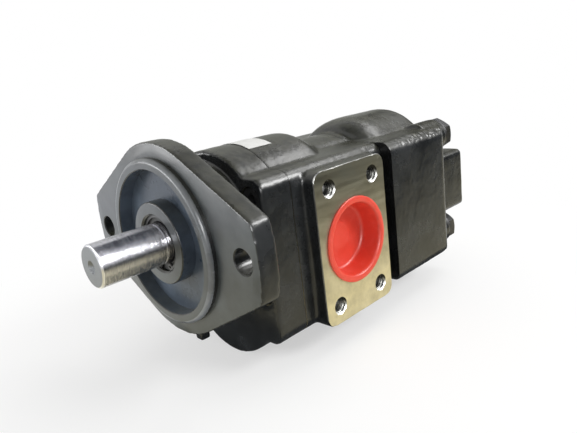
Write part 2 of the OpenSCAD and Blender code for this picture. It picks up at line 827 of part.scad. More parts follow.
// Drive shaft in one piece with the front drive gear
module drive_shaft() {
    tail_x = front_chamber_end + (partition_t - spline_end_gap) / 2;
    journal_end = front_chamber_end - journal_end_gap;
    undercut_x = -shoulder_x + undercut_w;
    drill_r = centre_hole_r / 2;
    color(bare_steel) difference() {
        union() {
            x_rod(shaft_r, -shaft_len + shaft_chamfer, -shoulder_x);
            x_cone(shaft_r - shaft_chamfer, shaft_r, -shaft_len, -shaft_len + shaft_chamfer);
            x_rod(drive_journal_r - undercut_depth, -shoulder_x - join, undercut_x);
            x_rod(drive_journal_r, undercut_x, journal_end);
            gear_body(front_gear_x, front_gear_w, 0, 0);
            x_prism(journal_end - join, tail_x) spline_outline();
        }
        x_cone(centre_hole_r, drill_r, -shaft_len - join, -shaft_len + drill_r);
        x_rod(drill_r, -shaft_len, -shaft_len + 2 * centre_hole_r);
        keyway();
    }
}

// Keyway with round ends, cut in the shaft's far side
module keyway() {
    x0 = -shaft_len + key_start;
    half = key_w / 2;
    y_prism(key_floor, shaft_r + 1) {
        translate([x0 + half, -half]) square([key_len - key_w, key_w]);
        translate([x0 + half, 0]) circle(r = half);
        translate([x0 + key_len - half, 0]) circle(r = half);
    }
}

// Driven gear of the front section, with its two journals
module front_driven_gear() {
    color(bare_steel) {
        gear_body(front_gear_x, front_gear_w, driven_z, 1);
        x_rod(journal_r, cover_joint_x + journal_end_gap, front_chamber_end - journal_end_gap, 0, driven_z);
    }
}

// Drive gear of the rear section, with its splined nose
module rear_drive_gear() {
    nose_x = front_chamber_end + (partition_t + spline_end_gap) / 2;
    journal_x = rear_joint_x + journal_end_gap;
    color(bare_steel) {
        gear_body(rear_gear_x, rear_gear_w, 0, 0);
        x_rod(journal_r, journal_x, rear_chamber_end - journal_end_gap);
        x_prism(nose_x, journal_x + join) spline_outline();
    }
}

// Driven gear of the rear section, with its two journals
module rear_driven_gear() {
    color(bare_steel) {
        gear_body(rear_gear_x, rear_gear_w, driven_z, 1);
        x_rod(journal_r, rear_joint_x + journal_end_gap, rear_chamber_end - journal_end_gap, 0, driven_z);
    }
}

// Splined sleeve that joins the shaft's tail to the rear drive gear
module coupling_sleeve() {
    color(dark_steel) difference() {
        x_rod(sleeve_r, front_chamber_end + sleeve_end_gap, rear_joint_x - sleeve_end_gap);
        x_prism(front_chamber_end, rear_joint_x) spline_outline(spline_play);
    }
}

// Bearing block of figure-eight form, bored for two bushes, with a seal groove on its back
module bearing_block(x, w, top_bush_r, back_x, back_dir) {
    color(alloy) difference() {
        x_prism(x, x + w) twin_circles(block_r);
        x_rod(top_bush_r, x - past, x + w + past);
        x_rod(driven_bush_r, x - past, x + w + past, 0, driven_z);
        block_seal_groove(back_x, back_dir);
        block_relief(back_dir > 0 ? x + w : x);
    }
}

// Groove for a pressure seal, entering the block's back face at x
module block_seal_groove(x, dir) {
    x0 = dir > 0 ? x - join : x - block_seal_t;
    x1 = dir > 0 ? x + block_seal_t : x + join;
    x_prism(x0, x1) block_seal_outline(block_seal_play);
}

// Outline of a pressure seal: a band that follows the block on its pressure side
module block_seal_outline(grow = 0) {
    outer = block_r - block_seal_inset;
    intersection() {
        difference() {
            twin_circles(outer + grow);
            twin_circles(outer - block_seal_w - grow);
        }
        translate([-grow, driven_z - block_r]) square([block_r + grow, gear_centres + 2 * block_r]);
    }
}

// Relief pockets that let trapped oil out of the mesh, cut in the block's gear side at x
module block_relief(x) {
    for (side = [-1, 1]) {
        x_rod(relief_r, x - relief_depth, x + relief_depth, side * relief_y, mesh_z);
    }
}

// Bearing blocks of both sections, a in front of the gears and b behind them
module front_block_a() {
    bearing_block(front_block_a_x, front_block_w, drive_bush_r, front_block_a_x, 1);
}

module front_block_b() {
    bearing_block(front_block_b_x, front_block_w, drive_bush_r, front_block_b_x + front_block_w, -1);
}

module rear_block_a() {
    bearing_block(rear_block_a_x, rear_block_w, driven_bush_r, rear_block_a_x, 1);
}

module rear_block_b() {
    bearing_block(rear_block_b_x, rear_block_w, driven_bush_r, rear_block_b_x + rear_block_w, -1);
}

// Plain bearing bush pressed into a block
module bush(x, w, inner_r, z) {
    difference() {
        x_rod(inner_r + journal_gap + bush_wall - press, x + bush_inset, x + w - bush_inset, 0, z);
        x_rod(inner_r + journal_gap, x - past, x + w + past, 0, z);
    }
}

// Pair of bushes in one block
module bush_pair(x, w, top_journal_r) {
    color(bronze) {
        bush(x, w, top_journal_r, 0);
        bush(x, w, journal_r, driven_z);
    }
}

module front_bushes_a() {
    bush_pair(front_block_a_x, front_block_w, drive_journal_r);
}

module front_bushes_b() {
    bush_pair(front_block_b_x, front_block_w, drive_journal_r);
}

module rear_bushes_a() {
    bush_pair(rear_block_a_x, rear_block_w, journal_r);
}

module rear_bushes_b() {
    bush_pair(rear_block_b_x, rear_block_w, journal_r);
}

// Pressure seals on the backs of a section's two blocks
module block_seals(front_back_x, rear_back_x) {
    color(rubber) {
        x_prism(front_back_x, front_back_x + block_seal_t - block_seal_play) block_seal_outline();
        x_prism(rear_back_x - block_seal_t + block_seal_play, rear_back_x) block_seal_outline();
    }
}

module front_block_seals() {
    block_seals(front_block_a_x, front_block_b_x + front_block_w);
}

module rear_block_seals() {
    block_seals(rear_block_a_x, rear_block_b_x + rear_block_w);
}

// Round-section ring on a racetrack path, with its middle at x
module joint_ring(x) {
    section_r = (joint_ring_t - joint_ring_squeeze) / 2;
    color(rubber) {
        for (side = [-1, 1]) {
            translate([x, side * joint_ring_r, driven_z]) cylinder(r = section_r, h = gear_centres);
        }
        translate([x, 0, 0]) rotate([90, 0, 90]) half_ring(section_r);
        translate([x, 0, driven_z]) rotate([90, 0, 90]) rotate(180) half_ring(section_r);
    }
}

// Half of a torus, above the Y axis of its own plane
module half_ring(section_r) {
    rotate_extrude(angle = 180) translate([joint_ring_r, 0]) circle(r = section_r);
}

module cover_joint_ring() {
    joint_ring(cover_joint_x - (joint_ring_t - joint_ring_squeeze) / 2);
}

module rear_joint_ring() {
    joint_ring(rear_joint_x + (joint_ring_t - joint_ring_squeeze) / 2);
}

// Dowel pins in the joint at x
module dowel_pair(x) {
    color(bare_steel) for (side = [-1, 1]) {
        x_rod(dowel_r - press, x - dowel_len / 2, x + dowel_len / 2, side * bolt_y, mesh_z);
    }
}

module cover_dowels() {
    dowel_pair(cover_joint_x);
}

module rear_dowels() {
    dowel_pair(rear_joint_x);
}

// Socket screws that hold the front cover, with their hexagon sockets
module cover_screws() {
    color(dark_steel) four_corners(screw_y, screw_z, screw_bottom_z) difference() {
        union() {
            x_rod(screw_head_r, screw_seat_x - screw_head_h, screw_seat_x);
            x_rod(screw_r, screw_seat_x - join, screw_tip_x);
        }
        translate([screw_seat_x - screw_head_h - join, 0, 0]) rotate([0, 90, 0])
            cylinder(r = socket_r, h = screw_r, $fn = 6);
    }
}

// Long hex bolts that hold the rear housing
module rear_bolts() {
    head_end = bolt_seat_x + bolt_head_h;
    crown_x = head_end - bolt_crown;
    color(dark_steel) four_corners(bolt_y, bolt_z, bolt_bottom_z) {
        x_rod(bolt_r, bolt_tip_x, bolt_seat_x + join);
        intersection() {
            translate([bolt_seat_x, 0, 0]) rotate([0, 90, 0])
                cylinder(r = bolt_corner_r, h = bolt_head_h, $fn = 6);
            union() {
                x_rod(bolt_flats, bolt_seat_x, crown_x);
                x_cone(washer_r + past, bolt_flats / 2 - past, crown_x, head_end);
            }
        }
    }
}

// Washers under the rear bolts
module rear_washers() {
    color(dark_steel) four_corners(bolt_y, bolt_z, bolt_bottom_z) difference() {
        x_rod(washer_r, lug_face_x, bolt_seat_x);
        x_rod(bolt_r + drill_gap, lug_face_x - past, bolt_seat_x + past);
    }
}

// Lip seal turned from its section: case, flexing lip and garter groove
module lip_seal(x) {
    lip_r = drive_journal_r + lip_gap;
    back_x = x + seal_w;
    web_t = 2;
    heel_in = 2;
    nose_in = 0.5;
    nose_h = 1.1;
    edge_in = 1.5;
    face_in = 2.5;
    face_h = 0.5;
    collar_w = 1.6;
    collar_h = 0.7;
    color(rubber) rotate([0, 90, 0]) rotate_extrude() rotate(90) polygon([
        [x, -seal_bore_r + press], [back_x, -seal_bore_r + press],
        [back_x, -seal_bore_r + seal_case_t], [x + web_t, -seal_bore_r + seal_case_t],
        [x + web_t, -lip_r - lip_t], [back_x - heel_in, -lip_r - lip_t],
        [back_x - nose_in, -lip_r - nose_h], [back_x - edge_in, -lip_r],
        [back_x - face_in, -lip_r - face_h], [x + collar_w, -lip_r - collar_h], [x, -lip_r - collar_h]
    ]);
}

module outer_shaft_seal() {
    lip_seal(outer_seal_x);
}

module inner_shaft_seal() {
    lip_seal(inner_seal_x);
}

// Garter springs that press the seal lips on the shaft
module garter_springs() {
    ring_r = drive_journal_r + lip_gap + lip_t + garter_seat_gap + garter_r;
    color(bare_steel) for (x = [outer_seal_x, inner_seal_x]) {
        translate([x + seal_w - garter_inset, 0, 0]) rotate([0, 90, 0])
            rotate_extrude() translate([ring_r, 0]) circle(r = garter_r, $fn = 24);
    }
}

// Internal retaining ring with its gap and two eyes
module seal_retaining_ring() {
    eye_r = 2;
    eye_hole_r = 0.9;
    eye_step = 5;
    eye_drop = 0.4;
    gap = 16;
    outer = seal_bore_r + 0.9 * ring_groove;
    eye_turn = gap + eye_step;
    eye_at = outer - ring_w - eye_drop;
    cut = 2 * outer;
    color(dark_steel) x_prism(ring_x, ring_x + ring_t) difference() {
        union() {
            difference() {
                circle(r = outer);
                circle(r = outer - ring_w);
                polygon([[0, 0], cut * [-sin(gap), -cos(gap)], cut * [sin(gap), -cos(gap)]]);
            }
            for (a = [-eye_turn, eye_turn]) {
                translate(eye_at * [sin(a), -cos(a)]) circle(r = eye_r);
            }
        }
        for (a = [-eye_turn, eye_turn]) {
            translate(eye_at * [sin(a), -cos(a)]) circle(r = eye_hole_r);
        }
    }
}

// Plastic transit cap: a lip on the pad's face and a tapered cup in the port
module suction_cap() {
    cup_r = suction_r - cap_play;
    color(cap_red) translate([pad_x, -pad_y, mesh_z]) rotate([-90, 0, 0]) difference() {
        union() {
            translate([0, 0, -cap_wall]) cylinder(r = suction_r + cap_lip_w, h = cap_wall);
            translate([0, 0, -join]) cylinder(r1 = cup_r, r2 = cup_r - cap_taper, h = cap_depth);
        }
        translate([0, 0, -cap_wall - join])
            cylinder(r1 = cup_r - cap_wall, r2 = cup_r - cap_wall - cap_taper, h = cap_depth);
    }
}

front_cover();
front_housing();
rear_housing();
drive_shaft();
front_driven_gear();
rear_drive_gear();
rear_driven_gear();
coupling_sleeve();
front_block_a();
front_block_b();
rear_block_a();
rear_block_b();
front_bushes_a();
front_bushes_b();
rear_bushes_a();
rear_bushes_b();
front_block_seals();
rear_block_seals();
cover_joint_ring();
rear_joint_ring();
cover_dowels();
rear_dowels();
cover_screws();
rear_bolts();
rear_washers();
outer_shaft_seal();
inner_shaft_seal();
garter_springs();
seal_retaining_ring();
suction_cap();
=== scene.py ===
"""Looks of a tandem gear pump: castings, fasteners, transit cap, label, finishes, light and camera."""
import contextlib
import math

import bmesh
import bpy
from mathutils import Matrix, Vector, noise


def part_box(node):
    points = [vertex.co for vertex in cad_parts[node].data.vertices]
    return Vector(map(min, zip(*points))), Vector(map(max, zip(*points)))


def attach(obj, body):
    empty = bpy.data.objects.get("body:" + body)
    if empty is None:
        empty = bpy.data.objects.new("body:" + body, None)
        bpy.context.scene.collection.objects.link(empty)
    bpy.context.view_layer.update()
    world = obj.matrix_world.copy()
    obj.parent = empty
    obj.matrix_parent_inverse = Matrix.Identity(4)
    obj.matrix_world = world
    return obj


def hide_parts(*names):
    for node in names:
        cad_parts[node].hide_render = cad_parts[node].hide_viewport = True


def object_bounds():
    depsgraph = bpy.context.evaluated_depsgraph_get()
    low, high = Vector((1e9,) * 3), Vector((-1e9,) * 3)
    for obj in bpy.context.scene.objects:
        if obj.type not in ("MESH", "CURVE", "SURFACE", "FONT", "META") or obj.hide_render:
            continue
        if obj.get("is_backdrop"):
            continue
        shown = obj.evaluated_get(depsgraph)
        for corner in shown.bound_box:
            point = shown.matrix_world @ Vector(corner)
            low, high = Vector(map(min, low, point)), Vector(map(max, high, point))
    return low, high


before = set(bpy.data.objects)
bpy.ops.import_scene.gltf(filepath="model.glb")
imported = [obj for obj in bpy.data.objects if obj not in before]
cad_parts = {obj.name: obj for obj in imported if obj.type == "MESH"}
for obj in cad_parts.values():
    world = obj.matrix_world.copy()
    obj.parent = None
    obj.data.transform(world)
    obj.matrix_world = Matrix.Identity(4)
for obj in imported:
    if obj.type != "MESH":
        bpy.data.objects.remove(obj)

bl_info = {
    "name": "Tandem gear pump",
    "version": (1, 0, 0),
    "blender": (4, 5, 0),
    "location": "View3D > Sidebar > Pump",
    "description": "Builds the looks of a tandem gear pump over its packed solids",
    "category": "Object",
}

CAD_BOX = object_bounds()

# Planes of the castings, in metres
COVER_JOINT = 0.059
REAR_JOINT = 0.1486
PAD_FACE = -0.060
OUTLET_FACE = 0.060
PILOT_FACE = -0.005
LUG_FACE = 0.2295
BOSS_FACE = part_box("rear_housing")[1].x
GEAR_LINE = -0.0225
SHAFT_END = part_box("drive_shaft")[0].x

# Radii of the front cover's turned edges
PILOT_R = 0.0508
RECESS_R = 0.0444
BOSS_R = 0.0253
SEAL_R = 0.0174
EAR_HOLE_R = 0.00715

# Centres of ports and holes, and the fasteners' places to each side and in height
PORT_X = 0.10345
OUTLET_X = 0.09305
REAR_PORT = (0.030, -0.01625)
EARS = [(i * 0.073, 0) for i in (-1, 1)]
SUCTION_HOLES = [(PORT_X + i * 0.02145, GEAR_LINE + j * 0.0389) for i in (-1, 1) for j in (-1, 1)]
OUTLET_HOLES = [(OUTLET_X + i * 0.0131, GEAR_LINE + j * 0.0262) for i in (-1, 1) for j in (-1, 1)]
SCREW_Y, SCREW_Z = 0.0405, (-0.038, 0.019)
BOLT_Y, BOLT_Z = 0.042, (-0.0555, 0.023)
SCREWS = [(i * SCREW_Y, z) for i in (-1, 1) for z in SCREW_Z]
BOLTS = [(i * BOLT_Y, z) for i in (-1, 1) for z in BOLT_Z]

# Half width, bottom and top of the room round the gear bores: filled in a blank, then machined
FILLED = (0.0480, -0.0705, 0.0300)
MACHINED = (0.0470, -0.0695, 0.0295)

WIDE = 0.1  # reach of a cutter past a casting's outline
SPARE = 0.0006  # reach of an edge's cutter past the edge
WELD = 2e-6  # distance at which the CAD's corners are one
ON_PLANE = 2e-5  # distance at which a corner belongs to a plane
CRISP = 32  # angle in degrees above which an edge stays sharp


# Mesh helpers

@contextlib.contextmanager
def edited(mesh):
    """The mesh as a bmesh, written back at the end."""
    bm = bmesh.new()
    bm.from_mesh(mesh)
    yield bm
    bm.to_mesh(mesh)
    bm.free()


def linked(name, data):
    """A new object of the scene that holds that mesh, lamp or camera."""
    obj = bpy.data.objects.new(name, data)
    bpy.context.scene.collection.objects.link(obj)
    return obj


def face_out(mesh):
    """Turns every face of a closed mesh outwards."""
    with edited(mesh) as bm:
        bmesh.ops.recalc_face_normals(bm, faces=bm.faces)


def new_object(name, verts, faces, edges=()):
    """A linked object with that mesh, its faces turned outwards."""
    mesh = bpy.data.meshes.new(name)
    mesh.from_pydata([tuple(v) for v in verts], edges, faces)
    face_out(mesh)
    return linked(name, mesh)


def drop(obj):
    """Takes a working object and its mesh out of the file."""
    mesh = obj.data
    bpy.data.objects.remove(obj)
    bpy.data.meshes.remove(mesh)


def settle(obj):
    """Turns what the object's modifiers make into its plain mesh."""
    graph = bpy.context.evaluated_depsgraph_get()
    mesh = bpy.data.meshes.new_from_object(obj.evaluated_get(graph), depsgraph=graph)
    old = obj.data
    obj.modifiers.clear()
    obj.data = mesh
    bpy.data.meshes.remove(old)
    mesh.name = obj.name


def placed(axis, along, u, v):
    """A point at a place along X or Y; u is the other level direction and v is height."""
    return (along, u, v) if axis == "X" else (u, along, v)


def turned(profile, axis="X", centre=(0.0, 0.0), count=96, ring=False):
    """A closed tool turned round an axis from (place, radius) pairs, from pole to pole or as a ring."""
    verts, rings, faces = [], [], []
    for along, radius in profile:
        row = []
        for i in range(count if radius > 0 else 1):
            a = 2 * math.pi * i / count
            row.append(len(verts))
            u, v = centre[0] + radius * math.cos(a), centre[1] + radius * math.sin(a)
            verts.append(placed(axis, along, u, v))
        rings.append(row)
    for low, high in zip(rings, rings[1:] + (rings[:1] if ring else [])):
        for i in range(count):
            j = (i + 1) % count
            loop = [low[i % len(low)], low[j % len(low)], high[j % len(high)], high[i % len(high)]]
            loop = list(dict.fromkeys(loop))
            if len(loop) > 2:
                faces.append(loop)
    return new_object("tool", verts, faces)


def rod(axis, centre, radius, low, high):
    """A cutter or plug in the round."""
    return turned([(low, 0), (low, radius), (high, radius), (high, 0)], axis, centre)


def block(low, high):
    """A cutter or plug with six flat sides."""
    verts = [(x, y, z) for x in (low[0], high[0]) for y in (low[1], high[1]) for z in (low[2], high[2])]
    faces = [(0, 1, 3, 2), (4, 6, 7, 5), (0, 4, 5, 1), (2, 3, 7, 6), (0, 2, 6, 4), (1, 5, 7, 3)]
    return new_object("tool", verts, faces)


def slab(low, high):
    """A cutter across the whole casting between two places along the shaft."""
    return block((low, -WIDE, -WIDE), (high, WIDE, WIDE))


def room(low, high, size):
    """A block round the gear bores between two places along the shaft."""
    half, bottom, top = size
    return block((low, -half, bottom), (high, half, top))


def bore_bevel(centre, radius, place, size):
    """A cutter that turns a small bevel on the front edge of a bore."""
    front = place - SPARE
    return turned([(front, radius + size + SPARE), (place + size + SPARE, radius - SPARE),
                   (front, radius - SPARE)], "X", centre, 96, True)


def edge_round(centre, radius, place, size):
    """A cutter that rounds the front edge of a boss to that radius."""
    steps = 8
    arc = [(place + size * (1 - math.cos(a)), radius - size * (1 - math.sin(a)))
           for a in (math.pi / 2 * i / steps for i in range(steps + 1))]
    corner = [(place + size, radius + SPARE), (place - SPARE, radius + SPARE), (place - SPARE, radius - size)]
    return turned(arc + corner, "X", centre, 128, True)


def rods(axis, centres, radius, low, high):
    """Recipes for equal rods at several centres."""
    return [(rod, (axis, centre, radius, low, high)) for centre in centres]


def made(recipes):
    """The tools of a list of (maker, values) recipes, one at a time."""
    for make, values in recipes:
        yield make(*values)


def combine(obj, other, operation):
    """Joins or cuts one closed mesh with another and drops the other."""
    step = obj.modifiers.new(operation, "BOOLEAN")
    step.operation = operation
    step.solver = "MANIFOLD"
    step.object = other
    settle(obj)
    drop(other)
    if not obj.data.polygons:
        raise RuntimeError(f"{obj.name}: {operation} left nothing")


def node_copy(node, name):
    """A welded copy of a CAD node's mesh; the node itself is left alone."""
    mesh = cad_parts[node].data.copy()
    mesh.name = name
    mesh.materials.clear()
    with edited(mesh) as bm:
        bmesh.ops.remove_doubles(bm, verts=bm.verts, dist=WELD)
    for layer in list(mesh.attributes):
        if layer.name == "custom_normal":
            mesh.attributes.remove(layer)
    return linked(name, mesh)


def smooth_by_angle(obj, degrees=CRISP):
    """Shades the faces smooth and keeps the edges sharper than the angle crisp."""
    limit = math.radians(degrees)
    with edited(obj.data) as bm:
        for face in bm.faces:
            face.smooth = True
        for edge in bm.edges:
            edge.smooth = len(edge.link_faces) == 2 and edge.calc_face_angle(0) < limit


def paint_faces(obj, name, test):
    """Gives a finish to the faces whose middle and normal pass a test."""
    slots, material = obj.data.materials, finish(name)
    if material.name not in slots:
        slots.append(material)
    index = slots.find(material.name)
    for face in obj.data.polygons:
        if test(face.center, face.normal):
            face.material_index = index


# Castings

def cast_then_machine(node, sizes, allowance, plugs, machined, trims, ragged=None):
    """A casting: a rounded, slightly uneven blank, then machined back to the CAD faces and bores.

    allowance holds (axis, plane, new plane) for faces that get stock; plugs fill the bores of the
    blank; machined volumes are brought to the CAD node exactly; trims are cut away altogether;
    ragged gives the depth of a torn edge at a point.
    """
    blank = node_copy(node, node + "_casting")
    for axis, plane, moved in allowance:
        k = "XY".index(axis)
        for v in blank.data.vertices:
            if abs(v.co[k] - plane) < ON_PLANE:
                v.co[k] = moved
    for plug in made(plugs):
        with edited(blank.data) as bm:
            bm.from_mesh(plug.data)
        drop(plug)
    shell = blank.modifiers.new("cast", "REMESH")
    shell.mode = "VOXEL"
    shell.voxel_size = sizes.voxel
    ease = blank.modifiers.new("ease", "SMOOTH")
    ease.factor = 0.5
    ease.iterations = sizes.ease_passes
    settle(blank)
    normals = [v.normal.copy() for v in blank.data.vertices]
    for v, n in zip(blank.data.vertices, normals):
        swell = 0.6 * noise.noise(v.co * 90) + 0.4 * noise.noise(v.co * 330 + Vector((3, 5, 7)))
        torn = ragged(v.co) if ragged else 0.0
        v.co += n * (sizes.unevenness * swell + torn * min(0.0, 2 * noise.noise(v.co * 420) - 0.2))
        for k in (1, 2):
            v.co[k] = min(max(v.co[k], CAD_BOX[0][k]), CAD_BOX[1][k])
    tools = made(machined)
    tool = next(tools)
    for part in tools:
        combine(tool, part, "UNION")
    combine(tool, node_copy(node, "cad"), "DIFFERENCE")
    for part in made(trims):
        combine(tool, part, "UNION")
    for obj in (blank, tool):
        obj.data.materials.clear()
        for name in ("painted_iron", "bare_iron"):
            obj.data.materials.append(finish(name))
    paint_faces(tool, "bare_iron", lambda c, n: True)
    combine(blank, tool, "DIFFERENCE")
    smooth_by_angle(blank)
    return blank


# Node helpers

SOCKETS = {float: "NodeSocketFloat", int: "NodeSocketInt", tuple: "NodeSocketVector"}


def add_inputs(tree, inputs):
    """Gives a group its inputs, from names and defaults; returns their identifiers by name."""
    found = {}
    for label, default in inputs.items():
        socket = tree.interface.new_socket(label, in_out="INPUT", socket_type=SOCKETS[type(default)])
        socket.default_value = default
        found[label] = socket.identifier
    return found


def feed(tree, socket, value):
    """Links an input to another node's output, or sets it to a number, vector or colour."""
    if isinstance(value, bpy.types.NodeSocket):
        tree.links.new(value, socket)
    else:
        socket.default_value = value


def calc(tree, operation, *values, clamp=False):
    """A math node fed by sockets or numbers; returns its output."""
    node = tree.nodes.new("ShaderNodeMath")
    node.operation = operation
    node.use_clamp = clamp
    for socket, value in zip(node.inputs, values):
        feed(tree, socket, value)
    return node.outputs[0]


def split(tree, vector):
    """The X, Y and Z of a vector."""
    node = tree.nodes.new("ShaderNodeSeparateXYZ")
    tree.links.new(vector, node.inputs[0])
    return node.outputs


def noise_node(tree, vector, scale, detail=3.0, roughness=0.55):
    """A noise texture over a vector; returns its factor."""
    node = tree.nodes.new("ShaderNodeTexNoise")
    for label, value in (("Vector", vector), ("Scale", scale), ("Detail", detail), ("Roughness", roughness)):
        feed(tree, node.inputs[label], value)
    return node.outputs["Fac"]


def ramp_node(tree, value, low, high, out_low=0.0, out_high=1.0):
    """Maps a value from one range to another, clamped; returns its result."""
    node = tree.nodes.new("ShaderNodeMapRange")
    tree.links.new(value, node.inputs["Value"])
    for label, number in zip(("From Min", "From Max", "To Min", "To Max"), (low, high, out_low, out_high)):
        node.inputs[label].default_value = number
    return node.outputs["Result"]


def mix_node(tree, fac, a, b):
    """A mix of two colours, each a socket or three numbers; returns its result."""
    node = tree.nodes.new("ShaderNodeMix")
    node.data_type = "RGBA"
    tree.links.new(fac, node.inputs["Factor"])
    for socket, value in zip([s for s in node.inputs if s.type == "RGBA"], (a, b)):
        feed(tree, socket, value if isinstance(value, bpy.types.NodeSocket) else (*value, 1.0))
    return next(s for s in node.outputs if s.type == "RGBA")


# Shader groups

def value_group(name, inputs, outputs):
    """An empty shader group with inputs by name and default, and named numbers as outputs."""
    group = bpy.data.node_groups.new(name, "ShaderNodeTree")
    add_inputs(group, inputs)
    for label in outputs:
        group.interface.new_socket(label, in_out="OUTPUT", socket_type="NodeSocketFloat")
    return group, group.nodes.new("NodeGroupInput").outputs, group.nodes.new("NodeGroupOutput").inputs


def cast_grain():
    """Height and cloudiness of a sand-cast surface."""
    group, start, end = value_group("Cast grain", {"Vector": (0, 0, 0), "Grain": 900.0}, ("Height", "Cloud"))
    fine = noise_node(group, start["Vector"], start["Grain"], 2.0)
    pits = noise_node(group, start["Vector"], 420.0, 3.0, 0.7)
    waves = noise_node(group, start["Vector"], 110.0, 2.0)
    height = calc(group, "MULTIPLY", fine, 0.35)
    for layer, share in ((pits, 0.45), (waves, 0.9)):
        height = calc(group, "ADD", height, calc(group, "MULTIPLY", layer, share))
    group.links.new(height, end["Height"])
    group.links.new(noise_node(group, start["Vector"], 38.0, 4.0, 0.6), end["Cloud"])
    return group


def settled_dust():
    """A mask on faces that look up, broken by noise."""
    group, start, end = value_group("Settled dust", {"Vector": (0, 0, 0), "Amount": 0.3}, ("Mask",))
    normal = group.nodes.new("ShaderNodeNewGeometry").outputs["Normal"]
    up = ramp_node(group, split(group, normal)["Z"], 0.25, 1.0)
    broken = ramp_node(group, noise_node(group, start["Vector"], 160.0, 4.0), 0.3, 0.75, 0.35, 1.0)
    mask = calc(group, "MULTIPLY", up, broken)
    group.links.new(calc(group, "MULTIPLY", mask, start["Amount"], clamp=True), end["Mask"])
    return group


def tool_marks():
    """Fine lines left by a cutter: circles round X, or straight lines across a flat face."""
    group, start, end = value_group(
        "Tool marks", {"Vector": (0, 0, 0), "Pitch": 2600.0, "Stretch": (1, 1, 1)}, ("Height", "Streak"))
    scaled = group.nodes.new("ShaderNodeVectorMath")
    scaled.operation = "MULTIPLY"
    for socket, label in zip(scaled.inputs, ("Vector", "Stretch")):
        group.links.new(start[label], socket)
    group.links.new(noise_node(group, scaled.outputs[0], start["Pitch"], 2.0), end["Height"])
    group.links.new(noise_node(group, scaled.outputs[0], 240.0, 3.0), end["Streak"])
    return group


GROUPS = {}
FINISHES = {}


def group_node(tree, maker, vector, **values):
    """Places a shared group in a tree, building it the first time; returns its outputs."""
    if maker not in GROUPS:
        GROUPS[maker] = maker()
    node = tree.nodes.new("ShaderNodeGroup")
    node.node_tree = GROUPS[maker]
    for label, value in {"Vector": vector, **values}.items():
        feed(tree, node.inputs[label], value)
    return node.outputs


# Finishes

def new_material(name):
    """A new material and its node tree."""
    material = bpy.data.materials.new(name)
    material.use_nodes = True
    return material, material.node_tree


def begin(name, roughness=0.5, metallic=0.0):
    """A new finish with a principled shader; returns (tree, shader, object coordinates)."""
    FINISHES[name], tree = new_material(name)
    shader = tree.nodes["Principled BSDF"]
    shader.inputs["Roughness"].default_value = roughness
    shader.inputs["Metallic"].default_value = metallic
    return tree, shader, tree.nodes.new("ShaderNodeTexCoord").outputs["Object"]


def dress(tree, shader, tone, rough, height, strength, distance):
    """Feeds a colour, a roughness and a bump's height to the shader."""
    tree.links.new(tone, shader.inputs["Base Color"])
    tree.links.new(rough, shader.inputs["Roughness"])
    node = tree.nodes.new("ShaderNodeBump")
    node.inputs["Strength"].default_value = strength
    node.inputs["Distance"].default_value = distance
    tree.links.new(height, node.inputs["Height"])
    tree.links.new(node.outputs["Normal"], shader.inputs["Normal"])


def near(tree, coords, plane, width):
    """1 at a place along the shaft, falling to 0 at width from it."""
    away = calc(tree, "ABSOLUTE", calc(tree, "SUBTRACT", split(tree, coords)["X"], plane))
    return ramp_node(tree, away, 0.0, width, 1.0, 0.0)


def paint(look, name, colour, duller, grain_strength, gloss=None):
    """Satin paint with cast grain, paler olive on what looks up, and dirt in the joints."""
    tree, shader, coords = begin(name, 0.4)
    shader.inputs["Specular IOR Level"].default_value = gloss or look.paint_gloss
    grain = group_node(tree, cast_grain, coords, Grain=900.0)
    # Paler olive on the faces that look up.
    upward_mask = group_node(tree, settled_dust, coords, Amount=0.33)["Mask"]
    worn = [min(1.0, c * 1.9 + 0.003) for c in colour]
    cloudy = mix_node(tree, ramp_node(tree, grain["Cloud"], 0.38, 0.66), colour, worn)
    olive_topped = mix_node(tree, upward_mask, cloudy, (0.17, 0.165, 0.107))
    seams = [near(tree, coords, joint, 0.0007) for joint in (COVER_JOINT, REAR_JOINT)]
    tone = mix_node(tree, calc(tree, "MAXIMUM", *seams), olive_topped, (0.003, 0.003, 0.003))
    middle = look.paint_roughness + duller
    rough = ramp_node(tree, grain["Cloud"], 0.35, 0.7, middle - 0.04, middle + 0.07)
    rough = calc(tree, "ADD", rough, calc(tree, "MULTIPLY", upward_mask, 0.25), clamp=True)
    dress(tree, shader, tone, rough, grain["Height"], grain_strength, 0.00028)


def painted_iron(look):
    """Black satin paint over sand-cast iron."""
    paint(look, "painted_iron", look.paint_colour, 0.0, 0.4)


def faced_paint(look):
    """The same paint over the turned front faces, flatter, and paler as painted light on the faces turned to
    the front.
    """
    paint(look, "faced_paint", (0.033, 0.038, 0.040), 0.1, 0.14)


def rubbed_paint(look):
    """The same paint made pale on the pilot's rounded edge: partly rubbed wear, partly a painted highlight.
    """
    paint(look, "rubbed_paint", (0.118, 0.126, 0.135), 0.04, 0.12)


def recess_paint(look):
    """The same paint in the pilot's recess, blue-black and dull."""
    paint(look, "recess_paint", (0.048, 0.061, 0.079), 0.06, 0.2, 0.25)


def bare_iron(look):
    """Milled iron: warm grey with cutter lines, darker towards the top and paler towards the bottom as a
    painted reflection.
    """
    tree, shader, coords = begin("bare_iron", 0.4, 0.85)
    marks = group_node(tree, tool_marks, coords, Pitch=1500.0, Stretch=(0.06, 1.0, 1.0))
    # Painted reflection: the tone runs from dark at the top to the iron colour at the bottom, in place of the
    # floor's reflection.
    low = ramp_node(tree, split(tree, coords)["Z"], 0.022, -0.055)
    stains = ramp_node(tree, noise_node(tree, coords, 70.0, 5.0, 0.65), 0.35, 0.7)
    tone = mix_node(tree, low, (0.17, 0.17, 0.135), look.iron_colour)
    tone = mix_node(tree, calc(tree, "MULTIPLY", stains, 0.45), tone, (0.20, 0.18, 0.12))
    rough = ramp_node(tree, marks["Streak"], 0.3, 0.7, 0.3, 0.5)
    dress(tree, shader, tone, rough, marks["Height"], 0.35, 0.00012)


